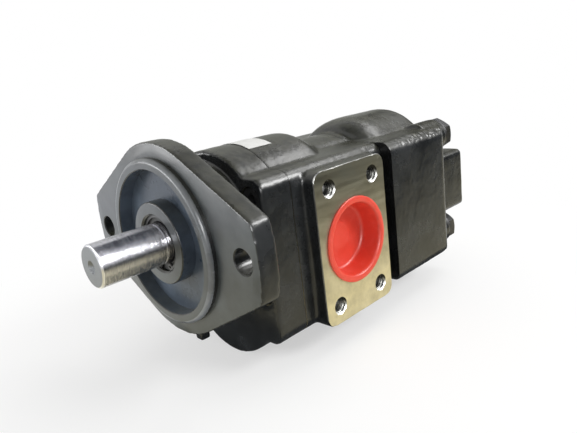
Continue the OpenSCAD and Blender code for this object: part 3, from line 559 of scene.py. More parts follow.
def steel(name, colour, rough_low, rough_high, pitch, stretch, strength,
          film_shade=0.72, depth=0.00005, dull=None):
    """Turned, ground or rolled steel; stretch lays its lines, and dull gives a mask, tone and roughness."""
    tree, shader, coords = begin(name, rough_low, 1.0)
    marks = group_node(tree, tool_marks, coords, Pitch=pitch, Stretch=stretch)
    film = ramp_node(tree, noise_node(tree, coords, 120.0, 4.0), 0.35, 0.7)
    tone = mix_node(tree, film, colour, [c * film_shade for c in colour])
    rough = ramp_node(tree, marks["Streak"], 0.3, 0.7, rough_low, rough_high)
    if dull:
        mask = dull[0](tree, coords)
        tone = mix_node(tree, mask, tone, dull[1])
        rough = calc(tree, "ADD", rough, calc(tree, "MULTIPLY", mask, dull[2]))
    dress(tree, shader, tone, rough, marks["Height"], strength, depth)


def end_face(tree, coords):
    """1 on the sawn end of the drive shaft and in its centre hole."""
    hole_r, hole_depth = 0.0045, 0.015
    parts = split(tree, coords)
    y, z = (calc(tree, "MULTIPLY", parts[k], parts[k]) for k in ("Y", "Z"))
    radius = calc(tree, "SQRT", calc(tree, "ADD", y, z))
    hole = calc(tree, "MULTIPLY", calc(tree, "LESS_THAN", radius, hole_r),
                calc(tree, "LESS_THAN", parts["X"], SHAFT_END + hole_depth))
    return calc(tree, "MAXIMUM", hole, near(tree, coords, SHAFT_END, 0.0003))


def painted_shade_below(tree, coords):
    """1 where the surface looks down and gets painted shade, 0 where it looks up."""
    normal = tree.nodes.new("ShaderNodeNewGeometry").outputs["Normal"]
    return ramp_node(tree, split(tree, normal)["Z"], 0.4, -0.2)


def ground_steel(look):
    """The ground journal of the drive shaft."""
    steel("ground_steel", look.shaft_colour, 0.17, 0.25, 3600.0, (1.0, 0.03, 0.03), 1.0, 0.9, 0.00024,
          (end_face, (0.17, 0.178, 0.185), 0.28))


def dark_steel(look):
    """Blackened steel of the bolts, screws and washers."""
    steel("dark_steel", (0.09, 0.09, 0.092), 0.34, 0.5, 1200.0, (1.0, 1.0, 1.0), 0.4)


def bright_thread(look):
    """Freshly cut thread in iron, with painted shade on the faces that look down."""
    # Painted shade: the faces that look down take a dark tone.
    steel("bright_thread", (0.72, 0.72, 0.7), 0.3, 0.42, 1800.0, (1.0, 1.0, 1.0), 0.2, 0.85, 0.00005,
          (painted_shade_below, (0.03, 0.03, 0.027), 0.15))


def alloy_block(look):
    """Cast light alloy of the bearing blocks."""
    steel("alloy_block", (0.62, 0.63, 0.64), 0.35, 0.55, 1400.0, (1.0, 0.3, 0.3), 0.3)


def bronze_bush(look):
    """Sintered bronze of the bushes."""
    steel("bronze_bush", (0.5, 0.3, 0.13), 0.3, 0.45, 1600.0, (1.0, 0.2, 0.2), 0.25)


def rubber(look):
    """Black nitrile of the seals."""
    tree, shader, coords = begin("rubber", 0.6)
    cloud = ramp_node(tree, noise_node(tree, coords, 300.0, 3.0), 0.35, 0.7)
    dress(tree, shader, mix_node(tree, cloud, (0.012, 0.012, 0.013), (0.03, 0.03, 0.03)),
          ramp_node(tree, cloud, 0.0, 1.0, 0.5, 0.75), noise_node(tree, coords, 1500.0), 0.3, 0.0001)


def red_plastic(look):
    """Moulded red polyethylene, slightly waxy, paler where it is scuffed."""
    tree, shader, coords = begin("red_plastic", 0.42)
    scuffs = ramp_node(tree, noise_node(tree, coords, 210.0, 5.0, 0.7), 0.52, 0.8, 0.0, 0.5)
    pale = [min(1.0, c * 1.1 + 0.05) for c in look.cap_colour]
    dress(tree, shader, mix_node(tree, scuffs, look.cap_colour, pale),
          ramp_node(tree, scuffs, 0.0, 0.5, 0.36, 0.55), noise_node(tree, coords, 500.0, 3.0), 0.15, 0.0002)


def label_stock(look):
    """Plain white vinyl, faintly soiled."""
    tree, shader, coords = begin("label_stock", 0.45)
    soil = ramp_node(tree, noise_node(tree, coords, 190.0, 4.0), 0.4, 0.75, 0.0, 0.35)
    dress(tree, shader, mix_node(tree, soil, (0.78, 0.78, 0.76), (0.5, 0.5, 0.46)),
          ramp_node(tree, soil, 0.0, 0.35, 0.4, 0.6), noise_node(tree, coords, 260.0), 0.2, 0.0002)


MAKERS = {maker.__name__: maker for maker in (
    painted_iron, faced_paint, rubbed_paint, recess_paint, bare_iron, ground_steel, dark_steel,
    bright_thread, alloy_block, bronze_bush, rubber, red_plastic, label_stock)}


def finish(name):
    """A material by name, made the first time it is asked for."""
    if name not in FINISHES:
        MAKERS[name](bpy.context.scene.pump_finishes)
    return FINISHES[name]


# Geometry trees

def geometry_tree(name, inputs):
    """An empty geometry tree; returns it, its inputs' values and their identifiers by name."""
    tree = bpy.data.node_groups.new(name, "GeometryNodeTree")
    tree.interface.new_socket("Geometry", in_out="INPUT", socket_type="NodeSocketGeometry")
    found = add_inputs(tree, inputs)
    material = tree.interface.new_socket("Material", in_out="INPUT", socket_type="NodeSocketMaterial")
    found["Material"] = material.identifier
    tree.interface.new_socket("Geometry", in_out="OUTPUT", socket_type="NodeSocketGeometry")
    return tree, tree.nodes.new("NodeGroupInput").outputs, found


def geo(tree, kind, settings=None, **inputs):
    """A geometry node with its settings and inputs, a list for several links; returns its first output."""
    node = tree.nodes.new("GeometryNode" + kind)
    for label, value in (settings or {}).items():
        setattr(node, label, value)
    for label, value in inputs.items():
        for one in value if isinstance(value, list) else [value]:
            feed(tree, node.inputs[label.replace("_", " ")], one)
    return node.outputs[0]


def boolean(tree, operation, tools, **base):
    """An exact boolean of meshes."""
    return geo(tree, "MeshBoolean", {"operation": operation, "solver": "EXACT"}, **base, Mesh_2=tools)


def raised(tree, mesh, height):
    """A mesh moved up by a worked-out height."""
    node = tree.nodes.new("ShaderNodeCombineXYZ")
    tree.links.new(height, node.inputs["Z"])
    return geo(tree, "Transform", Geometry=mesh, Translation=node.outputs[0])


def close_tree(tree, start, result):
    """Ends a tree in smooth-by-angle shading, Realize Instances and Set Material."""
    whole = geo(tree, "RealizeInstances", Geometry=result)
    angle = tree.nodes.new("GeometryNodeInputMeshEdgeAngle")
    soft = tree.nodes.new("FunctionNodeCompare")
    soft.operation = "LESS_THAN"
    tree.links.new(angle.outputs["Unsigned Angle"], soft.inputs["A"])
    soft.inputs["B"].default_value = math.radians(CRISP)
    faces = geo(tree, "SetShadeSmooth", {"domain": "FACE"}, Geometry=whole, Shade_Smooth=True)
    edges = geo(tree, "SetShadeSmooth", {"domain": "EDGE"}, Geometry=faces,
                Shade_Smooth=soft.outputs["Result"])
    final = geo(tree, "SetMaterial", Geometry=edges, Material=start["Material"])
    tree.links.new(final, tree.nodes.new("NodeGroupOutput").inputs[0])


def fastener_tree(name, inputs):
    """An empty tree for four fasteners, with the inputs of their shanks and places."""
    return geometry_tree(name, {
        **inputs, "Shank radius": 0.005, "Shank length": 0.026, "Spacing across": 0.081, "Spacing up": 0.057,
        "Place": (0, 0, 0)})


def coned_head(tree, body, height, top, bottom, depth):
    """A fastener's head with its top corners turned off by a cone."""
    cone = geo(tree, "MeshCone", Vertices=72, Radius_Top=top, Radius_Bottom=bottom, Depth=depth)
    return boolean(tree, "INTERSECT", [body, raised(tree, cone, calc(tree, "MULTIPLY", height, -0.5))])


def shank(tree, start, middle):
    """A fastener's shank, its middle at that height."""
    stem = geo(tree, "MeshCylinder", Vertices=48, Radius=start["Shank radius"], Depth=start["Shank length"])
    return raised(tree, stem, middle)


def four_of(tree, start, piece, turn):
    """Four copies of a piece laid along X, at the corners of a rectangle in the YZ plane."""
    laid = geo(tree, "Transform", Geometry=piece, Rotation=(0, turn, 0))
    grid = geo(tree, "MeshGrid", Size_X=start["Spacing across"], Size_Y=start["Spacing up"],
               Vertices_X=2, Vertices_Y=2)
    corners = geo(tree, "Transform", Geometry=grid, Rotation=(math.pi / 2, 0, math.pi / 2))
    copies = geo(tree, "InstanceOnPoints", Points=corners, Instance=laid)
    return geo(tree, "Transform", Geometry=copies, Translation=start["Place"])


def bolt_set_tree():
    """Four hexagon bolts with washer faces and shanks, on a rectangle across X."""
    washer_t, crown = 0.0012, 0.0004
    tree, start, sockets = fastener_tree("Hexagon bolt set", {"Across flats": 0.022, "Head height": 0.0082})
    flats, height = start["Across flats"], start["Head height"]
    corner = calc(tree, "DIVIDE", flats, math.sqrt(3))
    prism = geo(tree, "MeshCylinder", Vertices=6, Radius=corner, Depth=height)
    wide = calc(tree, "ADD", calc(tree, "ADD", corner, crown), height)
    head = coned_head(tree, prism, height, calc(tree, "MULTIPLY", flats, 0.48), wide,
                      calc(tree, "MULTIPLY", height, 1.001))
    head = geo(tree, "Transform", Geometry=head, Translation=(0, 0, 0.0049))
    skirt_r = calc(tree, "MULTIPLY", flats, 0.475)
    skirt = geo(tree, "MeshCylinder", Vertices=72, Radius=skirt_r, Depth=washer_t)
    skirt = geo(tree, "Transform", Geometry=skirt, Translation=(0, 0, washer_t / 2))
    stem = shank(tree, start, calc(tree, "MULTIPLY", start["Shank length"], -0.5))
    bolt = boolean(tree, "UNION", [head, skirt, stem])
    close_tree(tree, start, four_of(tree, start, bolt, math.pi / 2))
    return tree, sockets


def screw_set_tree():
    """Four socket head screws on a rectangle across X, their heads towards the flange."""
    bevel, overlap = 0.0007, 0.001
    tree, start, sockets = fastener_tree(
        "Socket screw set", {"Head radius": 0.008, "Head height": 0.010, "Socket radius": 0.0046})
    radius, height = start["Head radius"], start["Head height"]
    half = calc(tree, "MULTIPLY", height, 0.5)
    body = geo(tree, "MeshCylinder", Vertices=72, Radius=radius, Depth=height)
    wide = calc(tree, "ADD", radius, calc(tree, "SUBTRACT", height, bevel))
    head = coned_head(tree, body, height, calc(tree, "SUBTRACT", radius, bevel), wide, height)
    socket = geo(tree, "MeshCylinder", Vertices=6, Radius=start["Socket radius"], Depth=height)
    reach = calc(tree, "ADD", calc(tree, "MULTIPLY", start["Shank length"], 0.5), half)
    whole = boolean(tree, "UNION", [head, shank(tree, start, calc(tree, "SUBTRACT", overlap, reach))])
    screw = boolean(tree, "DIFFERENCE", raised(tree, socket, half), Mesh_1=whole)
    close_tree(tree, start, four_of(tree, start, screw, -math.pi / 2))
    return tree, sockets


def thread_tree():
    """A cut thread's ridge at every vertex of the object, running inwards along one direction."""
    tree, start, sockets = geometry_tree("Cut thread", {
        "Radius": 0.0051, "Pitch": 0.00175, "Turns": 8.0, "Depth": 0.0006, "Direction": (0, 0, 0)})
    coil = geo(tree, "CurveSpiral", Resolution=36, Rotations=start["Turns"], Start_Radius=start["Radius"],
               End_Radius=start["Radius"], Height=calc(tree, "MULTIPLY", start["Pitch"], start["Turns"]))
    ridge = geo(tree, "CurvePrimitiveCircle", Resolution=3, Radius=start["Depth"])
    swept = geo(tree, "CurveToMesh", Curve=coil, Profile_Curve=ridge, Fill_Caps=True)
    turn = tree.nodes.new("FunctionNodeEulerToRotation")
    tree.links.new(start["Direction"], turn.inputs[0])
    threads = geo(tree, "InstanceOnPoints", Points=start["Geometry"], Instance=swept,
                  Rotation=turn.outputs[0])
    close_tree(tree, start, threads)
    return tree, sockets


def lathe_tree():
    """Turns the object's own open profile, drawn as radius in X and place in Y, round the Y axis."""
    tree, start, sockets = geometry_tree("Turned round Y", {"Segments": 128, "Place": (0, 0, 0)})
    path = geo(tree, "CurvePrimitiveCircle", Resolution=start["Segments"], Radius=1e-5)
    profile = geo(tree, "MeshToCurve", Mesh=start["Geometry"])
    skin = geo(tree, "CurveToMesh", Curve=path, Profile_Curve=profile)
    closed = geo(tree, "MergeByDistance", Geometry=skin, Distance=3e-5)
    stood = geo(tree, "Transform", Geometry=closed, Rotation=(math.pi / 2, 0, 0), Translation=start["Place"])
    close_tree(tree, start, stood)
    return tree, sockets


def crisp_tree():
    """Welds a node's loose triangles for shading, without a change to the node's own mesh."""
    tree, start, sockets = geometry_tree("Crisp shading", {})
    close_tree(tree, start, geo(tree, "MergeByDistance", Geometry=start["Geometry"], Distance=WELD))
    return tree, sockets


TREES = {}


def grow(obj, maker, **values):
    """Adds a geometry tree to an object and sets its inputs by socket identifier."""
    if maker not in TREES:
        TREES[maker] = maker()
    tree, sockets = TREES[maker]
    step = obj.modifiers.new(tree.name, "NODES")
    step.node_group = tree
    for label, value in values.items():
        step[sockets[label.replace("_", " ")]] = value


def grown(name, maker, points=((0.0, 0.0, 0.0),), edges=(), **values):
    """A plain mesh piece made by a geometry tree from a few points and the edges between them."""
    obj = new_object(name, points, [], edges)
    grow(obj, maker, **values)
    settle(obj)
    if not obj.data.polygons:
        raise RuntimeError(f"{name}: the geometry tree made nothing")
    return obj


def done(obj, slot, *nodes, body="casing"):
    """Puts a finished piece on its body and in place of its CAD nodes; the slot is not used."""
    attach(obj, body)
    if nodes:
        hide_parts(*nodes)


# Settings

def colour_setting(name, description, default):
    """A colour among the settings."""
    return bpy.props.FloatVectorProperty(
        name=name, description=description, default=default, subtype="COLOR", min=0, max=1)


def share_setting(name, description, default, low, high):
    """A plain number among the settings."""
    return bpy.props.FloatProperty(
        name=name, description=description, default=default, min=low, max=high, subtype="FACTOR")


def length_setting(name, description, default, low, high, precision=5):
    """A length among the settings."""
    return bpy.props.FloatProperty(
        name=name, description=description, default=default, min=low, max=high, unit="LENGTH",
        precision=precision)


class PumpFinishes(bpy.types.PropertyGroup):
    """Colours and gloss of the finishes."""
    paint_colour: colour_setting("Paint", "Colour of the black paint", (0.0112, 0.0124, 0.0134))
    paint_roughness: share_setting("Paint roughness", "Roughness of the paint", 0.24, 0.1, 0.8)
    paint_gloss: share_setting("Paint gloss", "Strength of the paint's reflection", 0.5, 0, 1)
    iron_colour: colour_setting("Machined iron", "Colour of the milled faces", (0.82, 0.75, 0.53))
    shaft_colour: colour_setting("Shaft steel", "Colour of the ground shaft", (0.66, 0.66, 0.7))
    cap_colour: colour_setting("Cap", "Colour of the transit cap", (0.71, 0.056, 0.030))


class PumpSizes(bpy.types.PropertyGroup):
    """Sizes of the cast skin, the joint lines and the label."""
    voxel: length_setting("Cast cell", "Cell size of the cast skin", 0.00105, 0.0008, 0.003)
    ease_passes: bpy.props.IntProperty(
        name="Easing", description="Passes that round the cast edges", default=9, min=1, max=30)
    unevenness: length_setting("Unevenness", "Height of the waves in the cast skin", 0.00022, 0, 0.001)
    joint_gap: length_setting(
        "Joint line", "Half the width of the line between two castings", 0.00014, 0, 0.0005)
    label_width: length_setting(
        "Label width", "Width of the blank label along the shaft", 0.0193, 0.01, 0.03, 4)


# Operators

class PumpPiece(bpy.types.Operator):
    """Base of the piece operators."""
    bl_options = {"UNDO"}

    def execute(self, context):
        self.build(context.scene.pump_sizes, context.scene.pump_finishes)
        return {"FINISHED"}


class PUMP_OT_front_cover(PumpPiece):
    """Casts and machines the front cover with its mounting flange"""
    bl_idname = "pump.front_cover"
    bl_label = "Front cover"

    def build(self, sizes, look):
        raw_pilot, raw_joint, neck_front = PILOT_FACE - 0.0008, 0.0612, 0.038
        plugs = [
            (rod, ("X", (0, 0), 0.0518, raw_pilot, 0.0040)),
            (rod, ("X", (0, 0), 0.0180, raw_pilot, 0.0570)),
            (room, (0.0560, raw_joint, FILLED)),
            *rods("X", EARS, 0.0082, -0.0009, 0.0136),
            *rods("X", SCREWS, 0.0088, 0.0352, 0.0500),
        ]
        machined = [
            (slab, (-0.0100, 0.0)),
            (rod, ("X", (0, 0), 0.0446, -0.0100, 0.0042)),
            (rod, ("X", (0, 0), 0.0186, -0.0100, 0.0600)),
            (room, (0.0385, 0.0600, MACHINED)),
            *rods("X", EARS, 0.0076, -0.0100, 0.0200),
            *rods("X", SCREWS, 0.0090, 0.0300, 0.0600),
        ]
        trims = [
            (slab, (COVER_JOINT - sizes.joint_gap, 0.0700)),
            (edge_round, ((0, 0), PILOT_R, PILOT_FACE, 0.0028)),
            (bore_bevel, ((0, 0), RECESS_R, PILOT_FACE, 0.0005)),
            (edge_round, ((0, 0), BOSS_R, PILOT_FACE, 0.0010)),
            (bore_bevel, ((0, 0), SEAL_R, PILOT_FACE, 0.0006)),
            *[(bore_bevel, (ear, EAR_HOLE_R, 0.0, 0.0005)) for ear in EARS],
        ]
        cover = cast_then_machine(
            "front_cover", sizes,
            [("X", 0.0, -0.0002), ("X", PILOT_FACE, raw_pilot), ("X", COVER_JOINT, raw_joint)],
            plugs, machined, trims)
        paint_faces(cover, "painted_iron", lambda c, n: c.x < neck_front)
        # Painted light: the faces turned to the front get the paler paint.
        paint_faces(cover, "faced_paint", lambda c, n: n.x < -0.95 and (
            abs(c.x) < 1e-4 or abs(c.x - PILOT_FACE) < 1e-4))
        paint_faces(cover, "recess_paint", lambda c, n: (
            -0.0043 < c.x < 0.0045 and BOSS_R - 0.0003 < math.hypot(c.y, c.z) < RECESS_R + 0.0002))
        # Partly rubbed wear, partly a painted highlight: the pilot's rounded edge gets the pale paint.
        paint_faces(cover, "rubbed_paint", lambda c, n: (
            c.x < -0.0021 and -0.99 < n.x < -0.05 and math.hypot(c.y, c.z) > PILOT_R - 0.0030))
        done(cover, "black_paint", "front_cover")


class PUMP_OT_front_housing(PumpPiece):
    """Casts and machines the front gear housing with its suction and outlet pads"""
    bl_idname = "pump.front_housing"
    bl_label = "Front housing"

    def build(self, sizes, look):
        raw_front, raw_back = 0.0568, 0.1508
        raw_pad, raw_outlet = PAD_FACE - 0.0008, OUTLET_FACE + 0.0008
        thread_r = 0.0061
        plugs = [
            (room, (raw_front, 0.0640, FILLED)),
            (room, (0.1430, raw_back, FILLED)),
            (rod, ("Y", (PORT_X, GEAR_LINE), 0.0280, raw_pad, -0.0400)),
            (rod, ("Y", (OUTLET_X, GEAR_LINE), 0.0150, 0.0400, raw_outlet)),
            *rods("Y", SUCTION_HOLES, 0.0064, raw_pad, -0.0420),
            *rods("Y", OUTLET_HOLES, 0.0056, 0.0430, raw_outlet),
        ]
        machined = [
            (block, ((0.0400, -0.0700, -WIDE), (0.1600, PAD_FACE, WIDE))),
            (block, ((0.0400, OUTLET_FACE, -WIDE), (0.1600, 0.0700, WIDE))),
            (room, (COVER_JOINT, REAR_JOINT, MACHINED)),
            (rod, ("Y", (PORT_X, GEAR_LINE), 0.0274, -0.0700, -0.0200)),
            (rod, ("Y", (OUTLET_X, GEAR_LINE), 0.0146, 0.0200, 0.0700)),
            *rods("Y", SUCTION_HOLES, thread_r, -0.0700, -0.0400),
            *rods("Y", OUTLET_HOLES, 0.0053, 0.0400, 0.0700),
        ]
        trims = [
            (slab, (0.0400, COVER_JOINT + sizes.joint_gap)),
            (slab, (REAR_JOINT - sizes.joint_gap, 0.1600)),
        ]
        housing = cast_then_machine(
            "front_housing", sizes,
            [("X", COVER_JOINT, raw_front), ("X", REAR_JOINT, raw_back), ("Y", PAD_FACE, raw_pad),
             ("Y", OUTLET_FACE, raw_outlet)],
            plugs, machined, trims)
        holes = [(PAD_FACE, p) for p in SUCTION_HOLES] + [(OUTLET_FACE, p) for p in OUTLET_HOLES]
        paint_faces(housing, "bare_iron", lambda c, n: abs(c.y) > OUTLET_FACE - 0.0006)
        paint_faces(housing, "bright_thread", lambda c, n: abs(c.y) > OUTLET_FACE - 0.0008 and abs(n.y) < 0.9)
        paint_faces(housing, "bright_thread", lambda c, n: abs(c.y) > 0.038 and abs(n.y) < 0.99 and any(
            c.y * y > 0 and math.hypot(c.x - p[0], c.z - p[1]) < thread_r for y, p in holes))
        done(housing, "black_paint", "front_housing")


class PUMP_OT_rear_housing(PumpPiece):
    """Casts and machines the rear gear housing with its lugs and port boss"""
    bl_idname = "pump.rear_housing"
    bl_label = "Rear housing"

    def build(self, sizes, look):
        front = REAR_JOINT + sizes.joint_gap
        raw_front, raw_boss, raw_lug = 0.1464, BOSS_FACE + 0.0012, LUG_FACE + 0.0010
        plugs = [
            (room, (raw_front, 0.1530, (0.0480, -0.0695, 0.0300))),
            (rod, ("X", REAR_PORT, 0.0176, 0.2340, raw_boss)),
            *rods("X", BOLTS, 0.0100, 0.2150, raw_lug),
        ]
        machined = [
            (slab, (BOSS_FACE, 0.2700)),
            (room, (REAR_JOINT, 0.2150, (0.0450, -0.0680, 0.0290))),
            (rod, ("X", REAR_PORT, 0.0175, 0.2300, 0.2650)),
            *rods("X", BOLTS, 0.0090, 0.1400, 0.2300),
            *rods("X", BOLTS, 0.0145, LUG_FACE, 0.2360),
        ]
        housing = cast_then_machine(
            "rear_housing", sizes,
            [("X", REAR_JOINT, raw_front), ("X", BOSS_FACE, raw_boss), ("X", LUG_FACE, raw_lug)],
            plugs, machined, [(slab, (0.1300, front))], self.torn_edge)
        paint_faces(housing, "painted_iron", lambda c, n: abs(c.x - front) < 1e-4)
        paint_faces(housing, "painted_iron", lambda c, n: (
            n.x > 0.9 and LUG_FACE - 0.001 < c.x < BOSS_FACE - 0.001))
        done(housing, "black_paint", "rear_housing")

    @staticmethod
    def torn_edge(co):
        """Depth of the torn skin along the top corners, fading in from the joint."""
        corner_y, corner_z, reach = 0.058, 0.031, 0.006
        close = max(0.0, 1 - math.hypot(abs(co.y) - corner_y, co.z - corner_z) / reach)
        return 0.0007 * close * min(1.0, max(0.0, (co.x - 0.155) / 0.02))


class PUMP_OT_fasteners(PumpPiece):
    """Adds the rear bolts with their washer faces and the cover's socket screws"""
    bl_idname = "pump.fasteners"
    bl_label = "Fasteners"

    def build(self, sizes, look):
        low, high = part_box("rear_bolts")
        seat = high.x - 0.0090
        self.add("rear_bolt_set", "rear_bolts", bolt_set_tree, BOLT_Y, BOLT_Z, seat, seat - low.x,
                 Across_flats=0.022, Head_height=0.0082, Shank_radius=0.007)
        low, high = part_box("cover_screws")
        head, overlap = 0.010, 0.0005
        self.add("cover_screw_set", "cover_screws", screw_set_tree, SCREW_Y, SCREW_Z, low.x + head / 2,
                 high.x - low.x - (head - overlap))

    def add(self, name, node, maker, y, z, x, reach, **values):
        """Four fasteners y to each side, at two heights, with shanks that long."""
        piece = grown(
            name, maker, Shank_length=reach, Spacing_across=2 * y, Spacing_up=z[1] - z[0],
            Place=(x, 0.0, (z[0] + z[1]) / 2), Material=finish("dark_steel"), **values)
        done(piece, "dark_steel", node)


class PUMP_OT_threads(PumpPiece):
    """Cuts the threads' ridges into the pads' holes and the rear port"""
    bl_idname = "pump.threads"
    bl_label = "Threads"

    def build(self, sizes, look):
        quarter, inset = math.pi / 2, 0.0012
        for name, points, direction, turns, radius, pitch, depth in (
            ("suction_hole_threads", [(x, PAD_FACE + inset, z) for x, z in SUCTION_HOLES],
             (-quarter, 0.0, 0.0), 7.0, 0.0051, 0.002, 0.0008),
            ("outlet_hole_threads", [(x, OUTLET_FACE - inset, z) for x, z in OUTLET_HOLES],
             (quarter, 0.0, 0.0), 8.0, 0.00425, 0.0015, 0.0005),
            ("rear_port_thread", [(BOSS_FACE - 0.0022, *REAR_PORT)],
             (0.0, -quarter, 0.0), 8.0, 0.0156, 0.002, 0.0007),
        ):
            ridges = grown(name, thread_tree, points, Direction=direction, Turns=turns, Radius=radius,
                           Pitch=pitch, Depth=depth, Material=finish("bright_thread"))
            done(ridges, "black_paint")


class PUMP_OT_transit_cap(PumpPiece):
    """Turns the red transit cap that closes the suction port"""
    bl_idname = "pump.transit_cap"
    bl_label = "Transit cap"

    def build(self, sizes, look):
        low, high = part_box("suction_cap")
        face, floor, seat = low.y, high.y, PAD_FACE
        lip = 0.5 * (high.x - low.x)
        bore = 0.0254 - 0.0001
        wall = bore - 0.0016
        inner = [
            (lip - 0.0004, seat), (lip, seat - 0.0004), (lip - 0.0001, face + 0.0004),
            (lip - 0.0006, face + 0.0001),
            (bore + 0.0006, face), (bore - 0.0005, face + 0.0003), (bore - 0.0011, face + 0.0009),
            (wall - 0.0001, face + 0.0024), (wall - 0.0005, floor - 0.0052),
            (wall - 0.0009, floor - 0.0034), (wall - 0.0019, floor - 0.0022),
            (wall - 0.0032, floor - 0.0017), (0.0105, floor - 0.0016), (0.0098, floor - 0.0019),
            (0.0088, floor - 0.0020), (0.0, floor - 0.0020),
        ]
        outer = [
            (0.0, floor), (bore - 0.0031, floor), (bore - 0.0018, floor - 0.0005),
            (bore - 0.0012, floor - 0.0016), (bore - 0.0003, seat + 0.0010), (bore - 0.0001, seat + 0.0001),
            (lip - 0.0004, seat + 0.00002),
        ]
        points = [(r, y, 0.0) for r, y in inner + outer]
        cap = grown(
            "transit_cap", lathe_tree, points, [(i, i + 1) for i in range(len(points) - 1)],
            Segments=160, Place=(PORT_X, 0.0, GEAR_LINE), Material=finish("red_plastic"))
        with edited(cap.data) as bm:
            bmesh.ops.remove_doubles(bm, verts=bm.verts, dist=5e-5)
        face_out(cap.data)
        smooth_by_angle(cap, 40)
        done(cap, "red_plastic", "suction_cap")


class PUMP_OT_label(PumpPiece):
    """Lays the blank white label over the drive barrel"""
    bl_idname = "pump.label"
    bl_label = "Blank label"

    def build(self, sizes, look):
        across, around, thick = 22, 40, 0.00014
        left, barrel_r, air = 0.0596, 0.04735, 0.0001
        start, turn = math.radians(111), math.radians(72)
        verts, faces = [], []
        for side in (0, 1):
            for i in range(across + 1):
                for j in range(around + 1):
                    a = turn + (start - turn) * j / around
                    x = left + sizes.label_width * i / across
                    lift = 0.00012 * noise.noise(Vector((x * 160, a * 9, 2)))
                    r = barrel_r + abs(lift) + thick * side + air
                    verts.append((x, r * math.cos(a), r * math.sin(a)))
        row = around + 1
        layer = (across + 1) * row
        for i in range(across):
            for j in range(around):
                a = i * row + j
                faces.append((a, a + 1, a + row + 1, a + row))
                faces.append(tuple(layer + k for k in (a, a + row, a + row + 1, a + 1)))
        rim = list(range(row)) + [i * row + around for i in range(1, across + 1)]
        rim += [across * row + j for j in range(around - 1, -1, -1)]
        rim += [i * row for i in range(across - 1, 0, -1)]
        for a, b in zip(rim, rim[1:] + rim[:1]):
            faces.append((a, b, b + layer, a + layer))
        label = new_object("blank_label", verts, faces)
        label.data.materials.append(finish("label_stock"))
        smooth_by_angle(label)
        done(label, "red_plastic")


class PUMP_OT_inner_parts(PumpPiece):
    """Gives the shaft, gears, blocks, bushes and seals their finishes"""
    bl_idname = "pump.inner_parts"
    bl_label = "Shaft and inner parts"

    def build(self, sizes, look):
        finishes = {
            "ground_steel": ("drive_shaft", "front_driven_gear", "rear_drive_gear", "rear_driven_gear",
                             "coupling_sleeve", "cover_dowels", "rear_dowels"),
            "alloy_block": ("front_block_a", "front_block_b", "rear_block_a", "rear_block_b"),
            "bronze_bush": ("front_bushes_a", "front_bushes_b", "rear_bushes_a", "rear_bushes_b"),
            "rubber": ("front_block_seals", "rear_block_seals", "cover_joint_ring", "rear_joint_ring",
                       "outer_shaft_seal", "inner_shaft_seal"),
            "dark_steel": ("garter_springs", "seal_retaining_ring", "rear_washers"),
        }
        for name, nodes in finishes.items():
            for node in nodes:
                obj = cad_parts[node]
                grow(obj, crisp_tree, Material=finish(name))
                for slot in obj.material_slots:
                    slot.material = finish(name)


# The stage's lamps (azimuth, elevation, width, height, power, and whether they light or only glint) and the
# cards that only reflections see (azimuth, elevation, distance, width, height, colour)
LAMPS = {
    "key_right": (31, 32, 0.6, 0.36, 12.0, True),
    "lamp_behind": (86, 50, 0.8, 0.3, 5.5, True),
    "lamp_low_left": (-128, 10, 1.0, 0.3, 9.0, True),
    "glint_corner": (50, 35, 0.4, 0.36, 8.0, False),
    "glint_rim": (-35, 18, 0.7, 0.4, 14.0, False),
}
CARDS = {
    "card_right_low": (40, 4, 0.9, 1.3, 0.36, (0.025, 0.025, 0.028)),
    "card_right_top": (62, 66, 1.2, 1.2, 0.45, (0.22, 0.23, 0.34)),
    "card_rear": (100, 20, 1.0, 0.7, 0.35, (0.025, 0.025, 0.028)),
    "card_back": (134, 24, 1.3, 1.5, 0.8, (0.5, 0.51, 0.48)),
    "card_back_top": (114, 57, 1.2, 0.6, 0.5, (0.4, 0.41, 0.45)),
    "card_above": (100, 84, 0.9, 0.8, 0.8, (0.03, 0.034, 0.05)),
}
PALE, DARK = (0.95, 0.88, 0.62), (0.03, 0.032, 0.034)
# Cards on the floor: reach along X, reach along Y, the part of Y that is graded, and the two colours
FLOOR_CARDS = {
    "card_floor_right": ((-0.02, 2.0), (-2.0, -0.075), (-0.09, -0.34), PALE, DARK),
    "card_floor_shaft": ((-0.5, -0.02), (-2.0, 0.05), (-0.09, -0.34), PALE, DARK),
    # A dark card under the pump: a painted shadow on the floor that reflections see.
    "card_floor_under": ((-0.02, 0.3), (-0.075, 0.06), (-0.075, 0.06),
                         (0.08, 0.085, 0.085), (0.06, 0.065, 0.065)),
    "card_floor_left": ((-0.8, -0.02), (0.05, 1.5), (0.08, 0.5), (1.2, 1.17, 0.98), (1.6, 1.64, 1.75)),
}
MIDDLE = Vector((0.09, 0.0, -0.015))  # what the lamps and cards look at
LAMP_DISTANCE = 1.4
PHOTO_WIDTH, FOCAL_LENGTH = 577, 528.888703  # of the photograph, in pixels
SENSOR = 36.0


